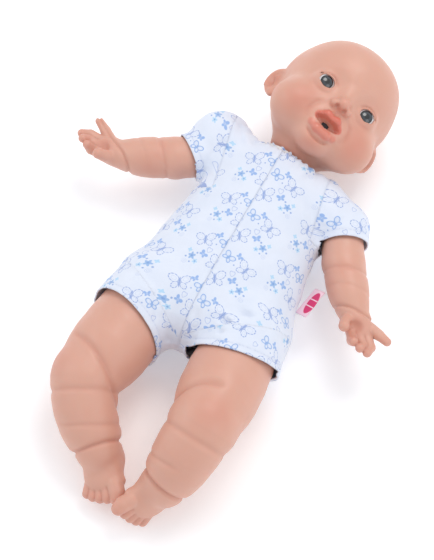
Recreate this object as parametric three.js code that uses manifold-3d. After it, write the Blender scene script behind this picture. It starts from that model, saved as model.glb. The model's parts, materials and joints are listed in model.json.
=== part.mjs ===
// Interactive baby doll, lying on its back. Millimetres.
// +X is the doll's left, +Y points to the crown of its head, +Z is its front.
// The origin is the middle of the flat stretch of the back, which rests on z = 0.
import * as THREE from 'three';
import { mergeVertices } from 'three/addons/utils/BufferGeometryUtils.js';
import Module from 'manifold-3d';

const wasm = await Module();
wasm.setup();

// ---- driving dimensions ----
const GAP = 0.3;                         // between pieces that touch
const CLOTH = 1.2;                       // cloth, with its seam allowance
const SKIN = 3;                          // vinyl wall
const JOINT_ROOM = 1.6;                  // round the cloth joints
const SEAM_Z = 38;                       // height of the side seams
const RIGHT = -1;
const LEFT = 1;

const NECK_PIVOT = [-2.5, 85.5, 46];
const NECK_BALL = 24;
const NECK_BORE = 19.4;
const HEAD_TILT = THREE.MathUtils.degToRad(-8);
const HEAD_TURN = THREE.MathUtils.degToRad(22);
const HEAD_CENTRE = [0, 73, 14];         // in the head's own frame, from the neck pivot
const HEAD_HALF = { x: 49, up: 55, down: 56, front: 50, back: 58 };

const SHOULDER_AT = { [RIGHT]: [-53, 80, 42], [LEFT]: [63, 71, 42] };   // the cloth gives, so they differ
const SHOULDER = { ball: 22, tube: 21, bore: 16.8, hem: 25 };
const ARM_DROP = { [RIGHT]: -55, [LEFT]: 26 };     // degrees about Z from hanging straight down
const ARM_LOWEST = 72;                             // degrees below straight out

const HIP = { x: 42, y: -61, z: 42, ball: 34, tube: 33, bore: 30.8, hem: 27 };
const THIGH = { [RIGHT]: [-0.098, -0.995, 0.035], [LEFT]: [0.088, -0.965, 0.25] };
const LEG_TURN = { [RIGHT]: 62, [LEFT]: 17 };      // degrees, foot turned inwards

const CASE = { x: 0, y: 37.5, back: 12, split: 26, front: 46, width: 56, length: 62, wall: 2 };
const POST = { x: 23.5, y: 26.5, r: 3.2 };
const CELL = { r: 5.25, length: 44.5, pitch: 12, y: 36, z: 20 };
const DOOR = { width: 37, length: 54 };
const BUTTON = { x: 14, y: 56, r: 8, proud: 2.5 };
const SPEAKER = { x: -8, y: 28, r: 17.5 };
const BOARD = { z: 30, thick: 1.4 };

const EYE = { x: 21, y: -11.5, z: 33, r: 9.2, clear: 10.5 };
const MOUTH = { y: -40, hole: 3.6 };

// ---- solids: three.js geometry in, three.js geometry out ----
const v2 = (x, y) => new THREE.Vector2(x, y);
const v3 = (x, y, z) => new THREE.Vector3(x, y, z);

function signedVolume(position, index) {
  const a = v3(0, 0, 0);
  const b = v3(0, 0, 0);
  const c = v3(0, 0, 0);
  let sum = 0;
  for (let i = 0; i < index.length; i += 3) {
    a.fromBufferAttribute(position, index[i]);
    b.fromBufferAttribute(position, index[i + 1]);
    c.fromBufferAttribute(position, index[i + 2]);
    sum += a.dot(b.cross(c));
  }
  return sum / 6;
}

// A closed geometry as a solid, with its seams welded and its faces turned outwards.
function solid(geometry) {
  const bare = geometry.clone();
  for (const name of Object.keys(bare.attributes)) {
    if (name !== 'position') bare.deleteAttribute(name);
  }
  const welded = mergeVertices(bare, 1e-3);
  const source = Array.from(welded.index.array);
  const index = [];
  for (let i = 0; i < source.length; i += 3) {
    const [a, b, c] = source.slice(i, i + 3);
    if (a !== b && b !== c && c !== a) index.push(a, b, c);
  }
  if (signedVolume(welded.attributes.position, index) < 0) index.reverse();
  return new wasm.Manifold(new wasm.Mesh({
    numProp: 3,
    vertProperties: new Float32Array(welded.attributes.position.array),
    triVerts: new Uint32Array(index),
  }));
}

function geometryOf(body) {
  const mesh = body.getMesh();
  const geometry = new THREE.BufferGeometry();
  geometry.setAttribute('position', new THREE.BufferAttribute(new Float32Array(mesh.vertProperties), 3));
  geometry.setIndex(Array.from(mesh.triVerts));
  geometry.computeVertexNormals();
  return geometry;
}

const union = (...bodies) => bodies.reduce((all, body) => all.add(body));
const cut = (body, ...tools) => tools.reduce((rest, tool) => rest.subtract(tool), body);

function ball(x, y, z, rx, ry = rx, rz = rx, detail = 10) {
  return solid(new THREE.SphereGeometry(1, detail, detail / 2).scale(rx, ry, rz).translate(x, y, z));
}

function box(low, high) {
  const size = high.map((value, i) => value - low[i]);
  const mid = high.map((value, i) => (value + low[i]) / 2);
  return solid(new THREE.BoxGeometry(...size).translate(...mid));
}

// A round bar between two points, thicker or thinner at its end.
function bar(from, to, r0, r1 = r0, sides = 16) {
  const a = v3(...from);
  const along = v3(...to).sub(a);
  const geometry = new THREE.CylinderGeometry(r1, r0, along.length(), sides);
  geometry.translate(0, along.length() / 2, 0);
  geometry.applyQuaternion(new THREE.Quaternion().setFromUnitVectors(v3(0, 1, 0), along.normalize()));
  return solid(geometry.translate(a.x, a.y, a.z));
}

const stem = (x, y, low, high, r, sides = 14) => bar([x, y, low], [x, y, high], r, r, sides);

// A turned piece: (radius, height) pairs round the Y axis, turned to stand on Z on request.
function turned(pairs, sides = 20, onZ = false) {
  const geometry = new THREE.LatheGeometry(pairs.map((pair) => v2(...pair)), sides);
  return onZ ? geometry.rotateX(Math.PI / 2) : geometry;
}

function plate(width, length, corner, low, high, x = 0, y = 0) {
  const w = width / 2 - corner;
  const l = length / 2 - corner;
  const outline = new THREE.Shape();
  outline.absarc(w, l, corner, 0, Math.PI / 2);
  outline.absarc(-w, l, corner, Math.PI / 2, Math.PI);
  outline.absarc(-w, -l, corner, Math.PI, Math.PI * 1.5);
  outline.absarc(w, -l, corner, Math.PI * 1.5, Math.PI * 2);
  const options = { depth: high - low, bevelEnabled: false, curveSegments: 3 };
  return solid(new THREE.ExtrudeGeometry(outline, options).translate(x, y, low));
}

function rod(points, r, steps) {
  const outline = new THREE.Shape().absarc(0, 0, r, 0, Math.PI * 2);
  const path = new THREE.CatmullRomCurve3(points.map((point) => v3(...point)));
  const options = { steps, extrudePath: path, curveSegments: 3, bevelEnabled: false };
  return solid(new THREE.ExtrudeGeometry(outline, options));
}

class Helix extends THREE.Curve {
  constructor(x, y, low, high, r, turns) {
    super();
    Object.assign(this, { x, y, low, high, r, turns });
  }

  getPoint(t) {
    const turn = t * this.turns * Math.PI * 2;
    const height = this.low + t * (this.high - this.low);
    return v3(this.x + this.r * Math.cos(turn), this.y + this.r * Math.sin(turn), height);
  }
}

function spring(x, y, low, high, r, turns, wire) {
  const outline = new THREE.Shape().absarc(0, 0, wire, 0, Math.PI * 2);
  const path = new Helix(x, y, low + wire, high - wire, r, turns);
  const options = { steps: turns * 8, extrudePath: path, curveSegments: 2, bevelEnabled: false };
  return solid(new THREE.ExtrudeGeometry(outline, options));
}

// ---- materials ----
const paint = (color, roughness, metalness = 0) => ({ color, roughness, metalness });
const VINYL = paint(0xdea695, 0.5);
const JERSEY = paint(0xdae2ef, 0.9);
const FIBRE = paint(0xf2f2ee, 1);
const CASE_PLASTIC = paint(0xe9e9e6, 0.5);
const DARK_PLASTIC = paint(0x2a2c30, 0.5);
const STEEL = paint(0xb8bcc0, 0.35, 0.9);
const BOARD_GREEN = paint(0x2f6b46, 0.5);
const TIE = paint(0xf0f0f0, 0.5);
const STRIP = paint(0xf7f7f7, 1);
const LABEL = paint(0xf1cdd8, 0.8);
const EYE_WHITE = paint(0xf4f2ee, 0.25);
const EYE_GREY = paint(0x4d565c, 0.35);
const EYE_CLEAR = paint(0xdfe6ea, 0.05);
const CELL_COAT = paint(0x4b5a6b, 0.4, 0.4);

function add(group, name, body, look) {
  const mesh = new THREE.Mesh(geometryOf(body), new THREE.MeshStandardMaterial(look));
  mesh.name = name;
  group.add(mesh);
}

const doll = new THREE.Group();

// ---- cloth body ----
// Stations from crotch to neck: y, half width, half depth, height of the middle.
const TORSO = [
  [-80, 10, 8, 42], [-72, 32, 24, 41], [-58, 56, 35, 40], [-40, 66, 40, 38], [-15, 64.5, 41.5, 38],
  [15, 59.5, 41, 38], [45, 55, 40, 38], [66, 51, 39.5, 38.5], [80, 45, 36, 40], [87, 39, 31, 43],
  [93, 28, 27, 45],
];
const TORSO_RINGS = 12;

function torsoForm(inset) {
  const widths = new THREE.CatmullRomCurve3(TORSO.map(([y, w, d]) => v3(w, y, d)));
  const middles = new THREE.CatmullRomCurve3(TORSO.map(([y, , , m]) => v3(0, y, m)));
  const at = (curve, i) => curve.getPoint(i / TORSO_RINGS);
  const low = TORSO[0][0] + inset;
  const high = TORSO[TORSO.length - 1][0] - inset;
  const profile = [v2(0, 0)];
  for (let i = 0; i <= TORSO_RINGS; i += 1) profile.push(v2(1, i));
  profile.push(v2(0, TORSO_RINGS));
  const form = new THREE.LatheGeometry(profile, 22);
  const position = form.attributes.position;
  for (let i = 0; i < position.count; i += 1) {
    const ring = Math.round(position.getY(i));
    const size = at(widths, ring);
    const middle = at(middles, ring);
    position.setXYZ(
      i,
      position.getX(i) * (size.x - inset),
      THREE.MathUtils.clamp(size.y, low, high),
      middle.z + position.getZ(i) * (size.z - inset),
    );
  }
  return solid(form).intersect(box([-90, -100, inset], [90, 120, 100]));
}

const hipAt = (side) => [side * HIP.x, HIP.y, HIP.z];

// Room for the limbs' round cloth joints: ball seats, the armpit and the front of the hip.
function jointRoom(clear) {
  const [x, y, z] = NECK_PIVOT;
  const neckR = NECK_BALL + clear;
  const rooms = [ball(x, y, z, neckR, neckR, neckR, 16), bar([x, y, z], [x, y + 15, z], 26.5, 31)];
  for (const side of [RIGHT, LEFT]) {
    const shoulder = SHOULDER_AT[side];
    const r = SHOULDER.ball + clear;
    const down = THREE.MathUtils.degToRad(ARM_LOWEST);
    const low = [shoulder[0] + side * 40 * Math.cos(down), shoulder[1] - 40 * Math.sin(down), shoulder[2]];
    rooms.push(ball(...shoulder, r, r, r, 16), bar(shoulder, low, r, r, 16));
    const hip = hipAt(side);
    const hipR = HIP.ball + clear;
    rooms.push(ball(...hip, hipR, hipR, hipR, 16), bar(hip, [hip[0], hip[1], 100], hipR, hipR, 16));
    rooms.push(bar(hip, [hip[0], hip[1] - 50, hip[2]], hipR, hipR, 16));
  }
  return rooms;
}

// The flap on the back covers an opening; its edge lies on a ledge of the back panel.
const FLAP = { x: 28, low: 5, high: 71 };
const OPENING = { x: 24.5, low: 8, high: 68 };
const layer = (outer, inner) => cut(torsoForm(outer), torsoForm(inner));
const backBox = (x, low, high) => box([-x, low, -5], [x, high, 22]);

const shell = cut(layer(0, CLOTH), ...jointRoom(JOINT_ROOM));
const front = (low, high) => box([low, -100, SEAM_Z + GAP / 2], [high, 120, 100]);
add(doll, 'torso_front_left_panel', shell.intersect(front(GAP / 2, 90)), JERSEY);
add(doll, 'torso_front_right_panel', shell.intersect(front(-90, -GAP / 2)), JERSEY);

const flapOpening = backBox(FLAP.x + GAP, FLAP.low - GAP, FLAP.high + GAP);
const ledgeFrame = backBox(FLAP.x + 2, FLAP.low - 2, FLAP.high + 2);
const opening = backBox(OPENING.x, OPENING.low, OPENING.high);
const ledge = layer(3.1, 3.1 + CLOTH).intersect(cut(ledgeFrame, opening));
const rim = layer(0, 3.1 + CLOTH).intersect(cut(ledgeFrame, flapOpening));
const backHalf = shell.intersect(box([-90, -100, -1], [90, 120, SEAM_Z - GAP / 2]));
const backPanel = union(cut(backHalf, flapOpening), ledge, rim);
add(doll, 'torso_back_panel', backPanel, JERSEY);

const strip = (outer, inner) => layer(outer, inner).intersect(backBox(20, FLAP.low + 0.4, FLAP.low + 2.6));
add(doll, 'loop_strip', strip(2.25, 2.8), STRIP);
add(doll, 'back_flap', layer(0, CLOTH).intersect(backBox(FLAP.x, FLAP.low, FLAP.high)), JERSEY);
add(doll, 'hook_strip', strip(CLOTH + GAP, 1.95), STRIP);

const LEAD = { r: 1.2, start: [0, CASE.y + CASE.length / 2 + GAP, 38] };
const leadRoute = [LEAD.start, [0, 75, 41], [-2.5, 80, 45], [-2.5, 85.2, 46]];
const pocket = plate(
  CASE.width + 0.8, CASE.length + 0.8, 4.4, CASE.back - 0.4, CASE.front + 0.4, CASE.x, CASE.y,
);
const buttonRoom = stem(BUTTON.x, BUTTON.y, CASE.front, CASE.front + BUTTON.proud + 0.6, BUTTON.r + 0.6);
const flapRoom = torsoForm(0).intersect(backBox(FLAP.x + 2.4, FLAP.low - 2.4, FLAP.high + 2.4));
const flapDepth = cut(flapRoom, torsoForm(3.1 + CLOTH + GAP));
const access = box([-OPENING.x, OPENING.low + 1, -5], [OPENING.x, OPENING.high - 1, 14]);
const leadRoom = bar([0, 66, 38], [0, 92, 42], 3, 3, 8);
const filling = cut(
  torsoForm(CLOTH + GAP), ...jointRoom(JOINT_ROOM), pocket, buttonRoom, flapDepth, access, leadRoom,
);
add(doll, 'fibre_filling', filling, FIBRE);
add(doll, 'sensor_lead_body', rod(leadRoute, LEAD.r, 10), DARK_PLASTIC);

const labelGroup = new THREE.Group();
labelGroup.position.set(65.8, -6, SEAM_Z);
labelGroup.rotation.set(0, THREE.MathUtils.degToRad(-18), THREE.MathUtils.degToRad(-10));
add(labelGroup, 'side_label', box([1.2, -11, -0.4], [12, 11, 0.4]), LABEL);
doll.add(labelGroup);

// ---- sound module ----
const module = new THREE.Group();
module.position.set(CASE.x, CASE.y, 0);
doll.add(module);

const posts = (low, high, r) => [LEFT, RIGHT].flatMap((sx) => [-1, 1].map(
  (sy) => stem(sx * POST.x, sy * POST.y, low, high, r, 8),
));
const halfWidth = CASE.width / 2;
const halfLength = CASE.length / 2;
const room = (low, high) => plate(
  CASE.width - 2 * CASE.wall, CASE.length - 2 * CASE.wall, 2, low, high,
);
const cellY = CELL.y - CASE.y;
const buttonY = BUTTON.y - CASE.y;
const speakerY = SPEAKER.y - CASE.y;
const doorTop = DOOR.length / 2;
const screwY = doorTop - 2.2;

const backShell = union(
  cut(plate(CASE.width, CASE.length, 4, CASE.back, CASE.split), room(CASE.back + CASE.wall, CASE.split + 1)),
  ...posts(CASE.back + 1, CASE.split, POST.r),
  stem(0, screwY, CASE.back + CASE.wall, CASE.split - 2, 2.6, 12)
    .add(box([-2.6, screwY, CASE.back + CASE.wall], [2.6, halfLength - 1, CASE.split - 2])),
);
const doorHole = plate(DOOR.width + 0.8, DOOR.length + 0.8, 1.4, CASE.back - 1, CASE.back + CASE.wall);
const knobSlot = box([20.4, -4.4, CASE.back - 1], [23.6, 4.4, CASE.back + CASE.wall + 1]);
add(module, 'case_back', cut(
  backShell, doorHole, knobSlot, stem(0, screwY, CASE.back, CASE.split, 1.7, 12),
  ...posts(CASE.back - 1, CASE.split + 1, 1.6), ...posts(CASE.back - 1, CASE.back + 1.9, 2.8),
), CASE_PLASTIC);

const speakerHoles = [0, 1, 2, 3, 4, 5, 6].map((i) => {
  const reach = i === 0 ? 0 : 8;
  const turn = i * Math.PI / 3;
  const x = SPEAKER.x + reach * Math.cos(turn);
  return stem(x, speakerY + reach * Math.sin(turn), CASE.front - 3, CASE.front + 1, 1.5, 8);
});
add(module, 'case_front', cut(
  union(
    cut(
      plate(CASE.width, CASE.length, 4, CASE.split + GAP, CASE.front),
      room(CASE.split, CASE.front - CASE.wall),
    ),
    ...posts(CASE.split + GAP, CASE.front - 1, POST.r),
  ),
  stem(BUTTON.x, buttonY, CASE.front - 4, CASE.front + 1, BUTTON.r + 0.4, 24),
  ...posts(CASE.split - 1, CASE.front - 8, 1.6), ...speakerHoles,
  bar([0, halfLength - 4, 38], [0, halfLength + 1, 38], 1.6, 1.6, 8),
), CASE_PLASTIC);

add(module, 'circuit_board', cut(
  plate(CASE.width - 5, CASE.length - 5, 2, BOARD.z, BOARD.z + BOARD.thick),
  ...posts(BOARD.z - 1, BOARD.z + 3, POST.r + 0.4),
), BOARD_GREEN);
const boardTop = BOARD.z + BOARD.thick + GAP;
add(module, 'sound_chip', box([-18, 12, boardTop], [-6, 22, boardTop + 1.6]), DARK_PLASTIC);
add(module, 'tact_switch', union(
  box([BUTTON.x - 3, buttonY - 3, boardTop], [BUTTON.x + 3, buttonY + 3, boardTop + 1.7]),
  stem(BUTTON.x, buttonY, boardTop, boardTop + 2.3, 1.6, 10),
), DARK_PLASTIC);

const speakerPart = (pairs, sides) => solid(turned(pairs, sides, true).translate(SPEAKER.x, speakerY, 0));
const coneLow = 38.3;
add(module, 'speaker_magnet', stem(SPEAKER.x, speakerY, boardTop + 0.3, coneLow - GAP, 8.5, 20), STEEL);
add(module, 'speaker_frame', speakerPart([
  [0, coneLow], [9, coneLow], [SPEAKER.r, 42.4], [SPEAKER.r, 43.6], [16, 43.6], [16, 42.6],
  [8.4, coneLow + 0.9], [0, coneLow + 0.9],
], 16), STEEL);
add(module, 'speaker_cone', speakerPart([
  [0, 39.6], [7.6, 39.6], [15.4, 42.9], [15.4, 43.5], [7.4, 40.3], [0, 40.3],
], 14), DARK_PLASTIC);

for (const [i, name] of ['cell_left', 'cell_middle', 'cell_right'].entries()) {
  const x = (1 - i) * CELL.pitch;
  const half = CELL.length / 2;
  add(module, name, union(
    bar([x, cellY - half, CELL.z], [x, cellY + half - 1, CELL.z], CELL.r, CELL.r, 12),
    bar([x, cellY + half - 1.2, CELL.z], [x, cellY + half, CELL.z], 1.9, 1.9, 8),
  ), CELL_COAT);
}
const contact = (y) => box([-17, y, CASE.back + 2.6], [17, y + 0.5, CASE.split - 2]);
add(module, 'battery_contact_lower', contact(cellY - CELL.length / 2 - 1.2), STEEL);
add(module, 'battery_contact_upper', contact(cellY + CELL.length / 2 + GAP), STEEL);

for (const [i, [sx, sy]] of [[1, 1], [1, -1], [-1, 1], [-1, -1]].entries()) {
  add(module, `case_screw_${i + 1}`, union(
    stem(sx * POST.x, sy * POST.y, CASE.back + 0.3, CASE.back + 1.6, 2.4, 8),
    stem(sx * POST.x, sy * POST.y, CASE.back + 1.5, CASE.front - 9, 1.3, 8),
  ), STEEL);
}

add(module, 'slide_switch', cut(
  box([19.3, -6, CASE.back + CASE.wall + GAP], [24.8, 6, 21]),
  box([20.4, -4.4, CASE.back], [23.6, 4.4, 18.4]),
), DARK_PLASTIC);
add(module, 'switch_knob', box([20.8, -3.9, CASE.back - 1.2], [23.2, -0.1, 18]), DARK_PLASTIC);

add(module, 'battery_door', cut(
  plate(DOOR.width, DOOR.length, 1, CASE.back, CASE.back + CASE.wall - 0.2),
  stem(0, screwY, CASE.back - 1, CASE.back + CASE.wall, 1.6, 12),
  stem(0, screwY, CASE.back - 1, CASE.back + 1.1, 2.1, 12),
), CASE_PLASTIC);
add(module, 'door_screw', cut(
  stem(0, screwY, CASE.back + 0.1, CASE.back + 0.8, 1.8, 12).add(
    stem(0, screwY, CASE.back + 0.7, CASE.back + 8, 1.3, 12),
  ),
  box([-2, screwY - 0.3, CASE.back - 1], [2, screwY + 0.3, CASE.back + 0.5]),
), STEEL);

const capFoot = CASE.front - CASE.wall - 0.6;
add(module, 'press_button', union(
  stem(BUTTON.x, buttonY, capFoot - 0.4, CASE.front + BUTTON.proud, BUTTON.r, 24),
  stem(BUTTON.x, buttonY, capFoot - 2.2, capFoot, BUTTON.r + 0.8, 24),
  stem(BUTTON.x, buttonY, boardTop + 5.2, capFoot - 2, 2.2, 12),
), DARK_PLASTIC);
add(module, 'press_spring', spring(BUTTON.x, buttonY, boardTop + 0.2, capFoot - 2.5, 5.4, 4, 0.4), STEEL);

// ---- neck ----
const neck = new THREE.Group();
neck.position.set(...NECK_PIVOT);
neck.rotation.set(0, HEAD_TURN, HEAD_TILT, 'ZYX');
doll.add(neck);

const bandHalf = Math.sqrt(NECK_BALL ** 2 - (NECK_BORE + 1) ** 2);
const collarProfile = [[NECK_BORE, -bandHalf], [NECK_BORE + 1, -bandHalf]];
for (const step of [-0.6, -0.2, 0.2, 0.6]) {
  const y = bandHalf * step;
  collarProfile.push([Math.sqrt(NECK_BALL ** 2 - y ** 2), y]);
}
collarProfile.push(
  [22.4, 9.5], [24.4, 12.2], [23, 12.8], [21.4, 10.6], [NECK_BORE, 10.2],
  [NECK_BORE, -bandHalf],
);
add(neck, 'neck_collar', solid(turned(collarProfile, 20)), JERSEY);
add(neck, 'neck_tie', solid(turned([
  [24.1, 6.2], [25, 6.2], [25, 8.4], [23.2, 8.4], [24.1, 6.2],
], 20)), TIE);

// ---- head ----
const [HX, HY, HZ] = HEAD_CENTRE;

// A sphere stretched by its own amount up, down, to the front and to the back.
function skull(inset, detail) {
  const form = new THREE.SphereGeometry(1, detail, detail * 0.6);
  const position = form.attributes.position;
  for (let i = 0; i < position.count; i += 1) {
    const x = position.getX(i);
    const y = position.getY(i);
    const z = position.getZ(i);
    const jaw = 1 - 0.12 * Math.max(0, -y) ** 2;
    position.setXYZ(
      i,
      HX + x * jaw * (HEAD_HALF.x - inset),
      HY + y * ((y > 0 ? HEAD_HALF.up : HEAD_HALF.down) - inset),
      HZ + z * ((z > 0 ? HEAD_HALF.front : HEAD_HALF.back) - inset),
    );
  }
  return solid(form);
}

const faceBall = (x, y, z, ...radii) => ball(HX + x, HY + y, HZ + z, ...radii);
const faceBar = (x, y, low, high, r, sides) => bar(
  [HX + x, HY + y, HZ + low], [HX + x, HY + y, HZ + high], r, r, sides,
);

function ear(side) {
  const rimRing = new THREE.TorusGeometry(10, 3.6, 6, 12).scale(0.75, 1.05, 1);
  rimRing.rotateY(side * THREE.MathUtils.degToRad(65));
  rimRing.translate(HX + side * 50, HY - 18, HZ - 9);
  const lobe = ball(HX + side * 47, HY - 28, HZ - 6, 4.5, 6, 5, 8);
  return union(solid(rimRing), lobe, ball(HX + side * 46.5, HY - 18, HZ - 8, 4, 10, 8, 8));
}

function lips() {
  const ring = new THREE.TorusGeometry(10.5, 4, 6, 16).scale(1, 0.62, 1);
  return solid(ring.translate(HX, HY + MOUTH.y, HZ + 44.5));
}

const face = [
  faceBall(0, -35, 20, 25, 21, 25), faceBall(0, -49, 22, 16, 8, 17),
  faceBall(0, -21, 48, 6, 5.5, 6), faceBall(7.5, -22.5, 45, 4, 4, 4.5), faceBall(-7.5, -22.5, 45, 4, 4, 4.5),
  faceBall(27, -30, 20, 20, 19, 20), faceBall(-27, -30, 20, 20, 19, 20),
];
const stub = solid(turned([[0, -12], [18.2, -12], [18.8, -11], [18.8, 34], [0, 34]], 20));
const eyeHole = (side) => [
  faceBall(side * EYE.x, EYE.y, EYE.z, EYE.clear, EYE.clear, EYE.clear, 14),
  ball(HX + side * EYE.x, HY + EYE.y, HZ + EYE.z + 11, 6.6, 5.5, 8, 14),
];
add(neck, 'head_shell', cut(
  union(skull(0, 20), stub, ear(LEFT), ear(RIGHT), lips(), ...face),
  skull(SKIN, 14),
  solid(turned([[0, -13], [15.6, -13], [15.6, 36], [0, 36]], 16)),
  ...eyeHole(LEFT), ...eyeHole(RIGHT),
  faceBall(0, MOUTH.y, 49, 9.5, 5.6, 9),
  faceBar(0, MOUTH.y, 20, 46, MOUTH.hole, 14),
  faceBar(0, MOUTH.y, 4, 29, 7.3, 14),
), VINYL);

for (const [name, side] of [['left', LEFT], ['right', RIGHT]]) {
  const x = side * EYE.x;
  const seat = 6;
  add(neck, `eyeball_${name}`, cut(
    ball(HX + x, HY + EYE.y, HZ + EYE.z, EYE.r, EYE.r, EYE.r, 14),
    faceBar(x, EYE.y, EYE.z + seat, EYE.z + 12, 5.7, 16),
  ), EYE_WHITE);
  add(neck, `iris_${name}`, faceBar(x, EYE.y, EYE.z + seat + GAP, EYE.z + seat + 0.9, 5.2, 16), EYE_GREY);
  add(neck, `cornea_${name}`, ball(HX + x, HY + EYE.y, HZ + EYE.z, 9.8, 9.8, 9.8, 16).intersect(
    faceBar(x, EYE.y, EYE.z + seat + 1.2, EYE.z + 12, 5.3, 16),
  ), EYE_CLEAR);
  add(neck, `eye_retainer_${name}`, cut(
    faceBall(x, EYE.y, EYE.z, EYE.r + 2),
    faceBall(x, EYE.y, EYE.z, EYE.r + 0.5, EYE.r + 0.5, EYE.r + 0.5, 14),
    box([HX + x - 15, HY - 25, HZ + EYE.z - 4], [HX + x + 15, HY + 15, HZ + EYE.z + 15]),
  ), CASE_PLASTIC);
}

const mouthBar = (low, high, r, sides = 14) => faceBar(0, MOUTH.y, low, high, r, sides);
add(neck, 'mouth_sensor_housing', cut(mouthBar(7, 19, 6.8, 18), mouthBar(10, 20, 5.7, 18)), DARK_PLASTIC);
add(neck, 'mouth_plunger', union(
  mouthBar(24, 26, 6.4), mouthBar(25, 39, 3.1), mouthBar(14.5, 24.5, 1.6, 8),
), DARK_PLASTIC);
add(neck, 'mouth_spring', spring(HX, HY + MOUTH.y, HZ + 10.3, HZ + 23.7, 4.6, 4, 0.4), STEEL);
add(neck, 'sensor_lead_head', rod([
  [0, 0.3, 0], [0, 10, 3], [0, 26, 10], [0, HY + MOUTH.y, HZ + 5.6],
], LEAD.r, 12), DARK_PLASTIC);

// ---- limbs ----
// A turned shape laid along a bent path: its height below the top is the way along the path.
function alongPath(profile, path, squeeze, sides = 12) {
  const form = turned(profile, sides);
  const position = form.attributes.position;
  const length = path.getLength();
  const offset = v3(0, 0, 0);
  for (let i = 0; i < position.count; i += 1) {
    const t = THREE.MathUtils.clamp(-position.getY(i) / length, 0, 1);
    const flat = squeeze(-position.getY(i));
    offset.set(position.getX(i), 0, position.getZ(i) * flat);
    const ahead = path.getTangentAt(t);
    offset.applyQuaternion(new THREE.Quaternion().setFromUnitVectors(v3(0, -1, 0), ahead));
    offset.add(path.getPointAt(t));
    position.setXYZ(i, offset.x, offset.y, offset.z);
  }
  return solid(form);
}

function digit(from, to, r0, r1) {
  return union(bar(from, to, r0, r1, 6), ball(...to, r1, r1, r1, 6));
}

const round = () => 1;

function limbTie(name, group, inner, outer, from, thick) {
  add(group, name, solid(turned([
    [inner, -from], [outer, -from], [outer, -from - thick], [inner, -from - thick], [inner, -from],
  ], 16)), TIE);
}

// Arm, hanging from the shoulder along -Y with the palm to +Z.
const ARM_TOP = 8;
const ARM_PROFILE = [
  [15.8, 8], [15.8, 12], [14.4, 12.6], [14.4, 16], [15.8, 16.6], [16, 32], [16.8, 42], [15.8, 50], [15.2, 54],
  [16.6, 62], [15, 71], [12.4, 79], [11.6, 85], [13, 92],
];

// The hand bends outwards. Its points are along it, towards its outer edge, and towards the palm.
const HAND_BEND = THREE.MathUtils.degToRad(35);
const HAND_DIGITS = [
  [[2, -7, 2], [17, -12, 8], 6, 4.6], [[14, -7, 1], [27, -8, 5], 4.8, 4],
  [[17, -1, 1], [32, -2, 5], 4.8, 4], [[17, 4, 0], [31, 4, 5], 4.6, 3.8], [[10, 8, 0], [27, 19, 3], 4.6, 3.6],
];

function inHand(side, [along, across, palm]) {
  const x = 11 + along * Math.sin(HAND_BEND) + across * Math.cos(HAND_BEND);
  const y = -83 - along * Math.cos(HAND_BEND) + across * Math.sin(HAND_BEND);
  return [side * x, y, palm];
}

function buildArm(name, side) {
  const path = new THREE.CatmullRomCurve3([
    v3(0, 0, 0), v3(0, -34, 0), v3(side * 2.5, -53, 0), v3(side * 9, -77, 0), v3(side * 14, -87, 0),
  ]);
  const flatten = (s) => 1 - 0.16 * THREE.MathUtils.smoothstep(s, 32, 50);
  const outer = [[0, -ARM_TOP], ...ARM_PROFILE.map(([r, s]) => [r, -s]), [0, -96]];
  const inner = [[0, 0], ...ARM_PROFILE.slice(2, 12).map(([r, s]) => [r - SKIN + 0.6, -s]), [0, -84]];
  inner.splice(1, 0, [ARM_PROFILE[2][0] - SKIN + 0.6, 0]);
  const hand = HAND_DIGITS.map(([from, to, r0, r1]) => digit(inHand(side, from), inHand(side, to), r0, r1));
  hand.push(ball(...inHand(side, [10, 0, 0]), 12.5, 13, 8, 12));
  const arm = new THREE.Group();
  arm.position.set(...SHOULDER_AT[side]);
  arm.rotation.z = THREE.MathUtils.degToRad(ARM_DROP[side]);
  doll.add(arm);
  add(arm, `arm_${name}_shell`, cut(
    union(alongPath(outer, path, flatten), ...hand),
    alongPath(inner, path, flatten),
  ), VINYL);
  const { ball: r, tube, bore, hem } = SHOULDER;
  add(arm, `sleeve_${name}`, cut(
    union(ball(0, 0, 0, r, r, r, 20), bar([0, 0, 0], [0, -hem, 0], tube, tube, 20)),
    bar([0, -5, 0], [0, -hem - 1, 0], bore, bore, 20),
  ), JERSEY);
  limbTie(`sleeve_tie_${name}`, arm, 15.1, 16.4, 13, 2.6);
}

// Leg, from the hip along -Y with the knee to +Z; the lower leg is bent back.
const LEG_PROFILE = [
  [28.6, 4], [28.6, 8], [27, 8.6], [27, 12], [29.8, 12.8], [30.2, 28], [30.8, 48], [29.4, 64], [26.6, 72],
  [28.2, 84], [26.5, 96], [22.4, 104], [22.6, 118], [20.4, 134], [18.4, 144],
];

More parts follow.
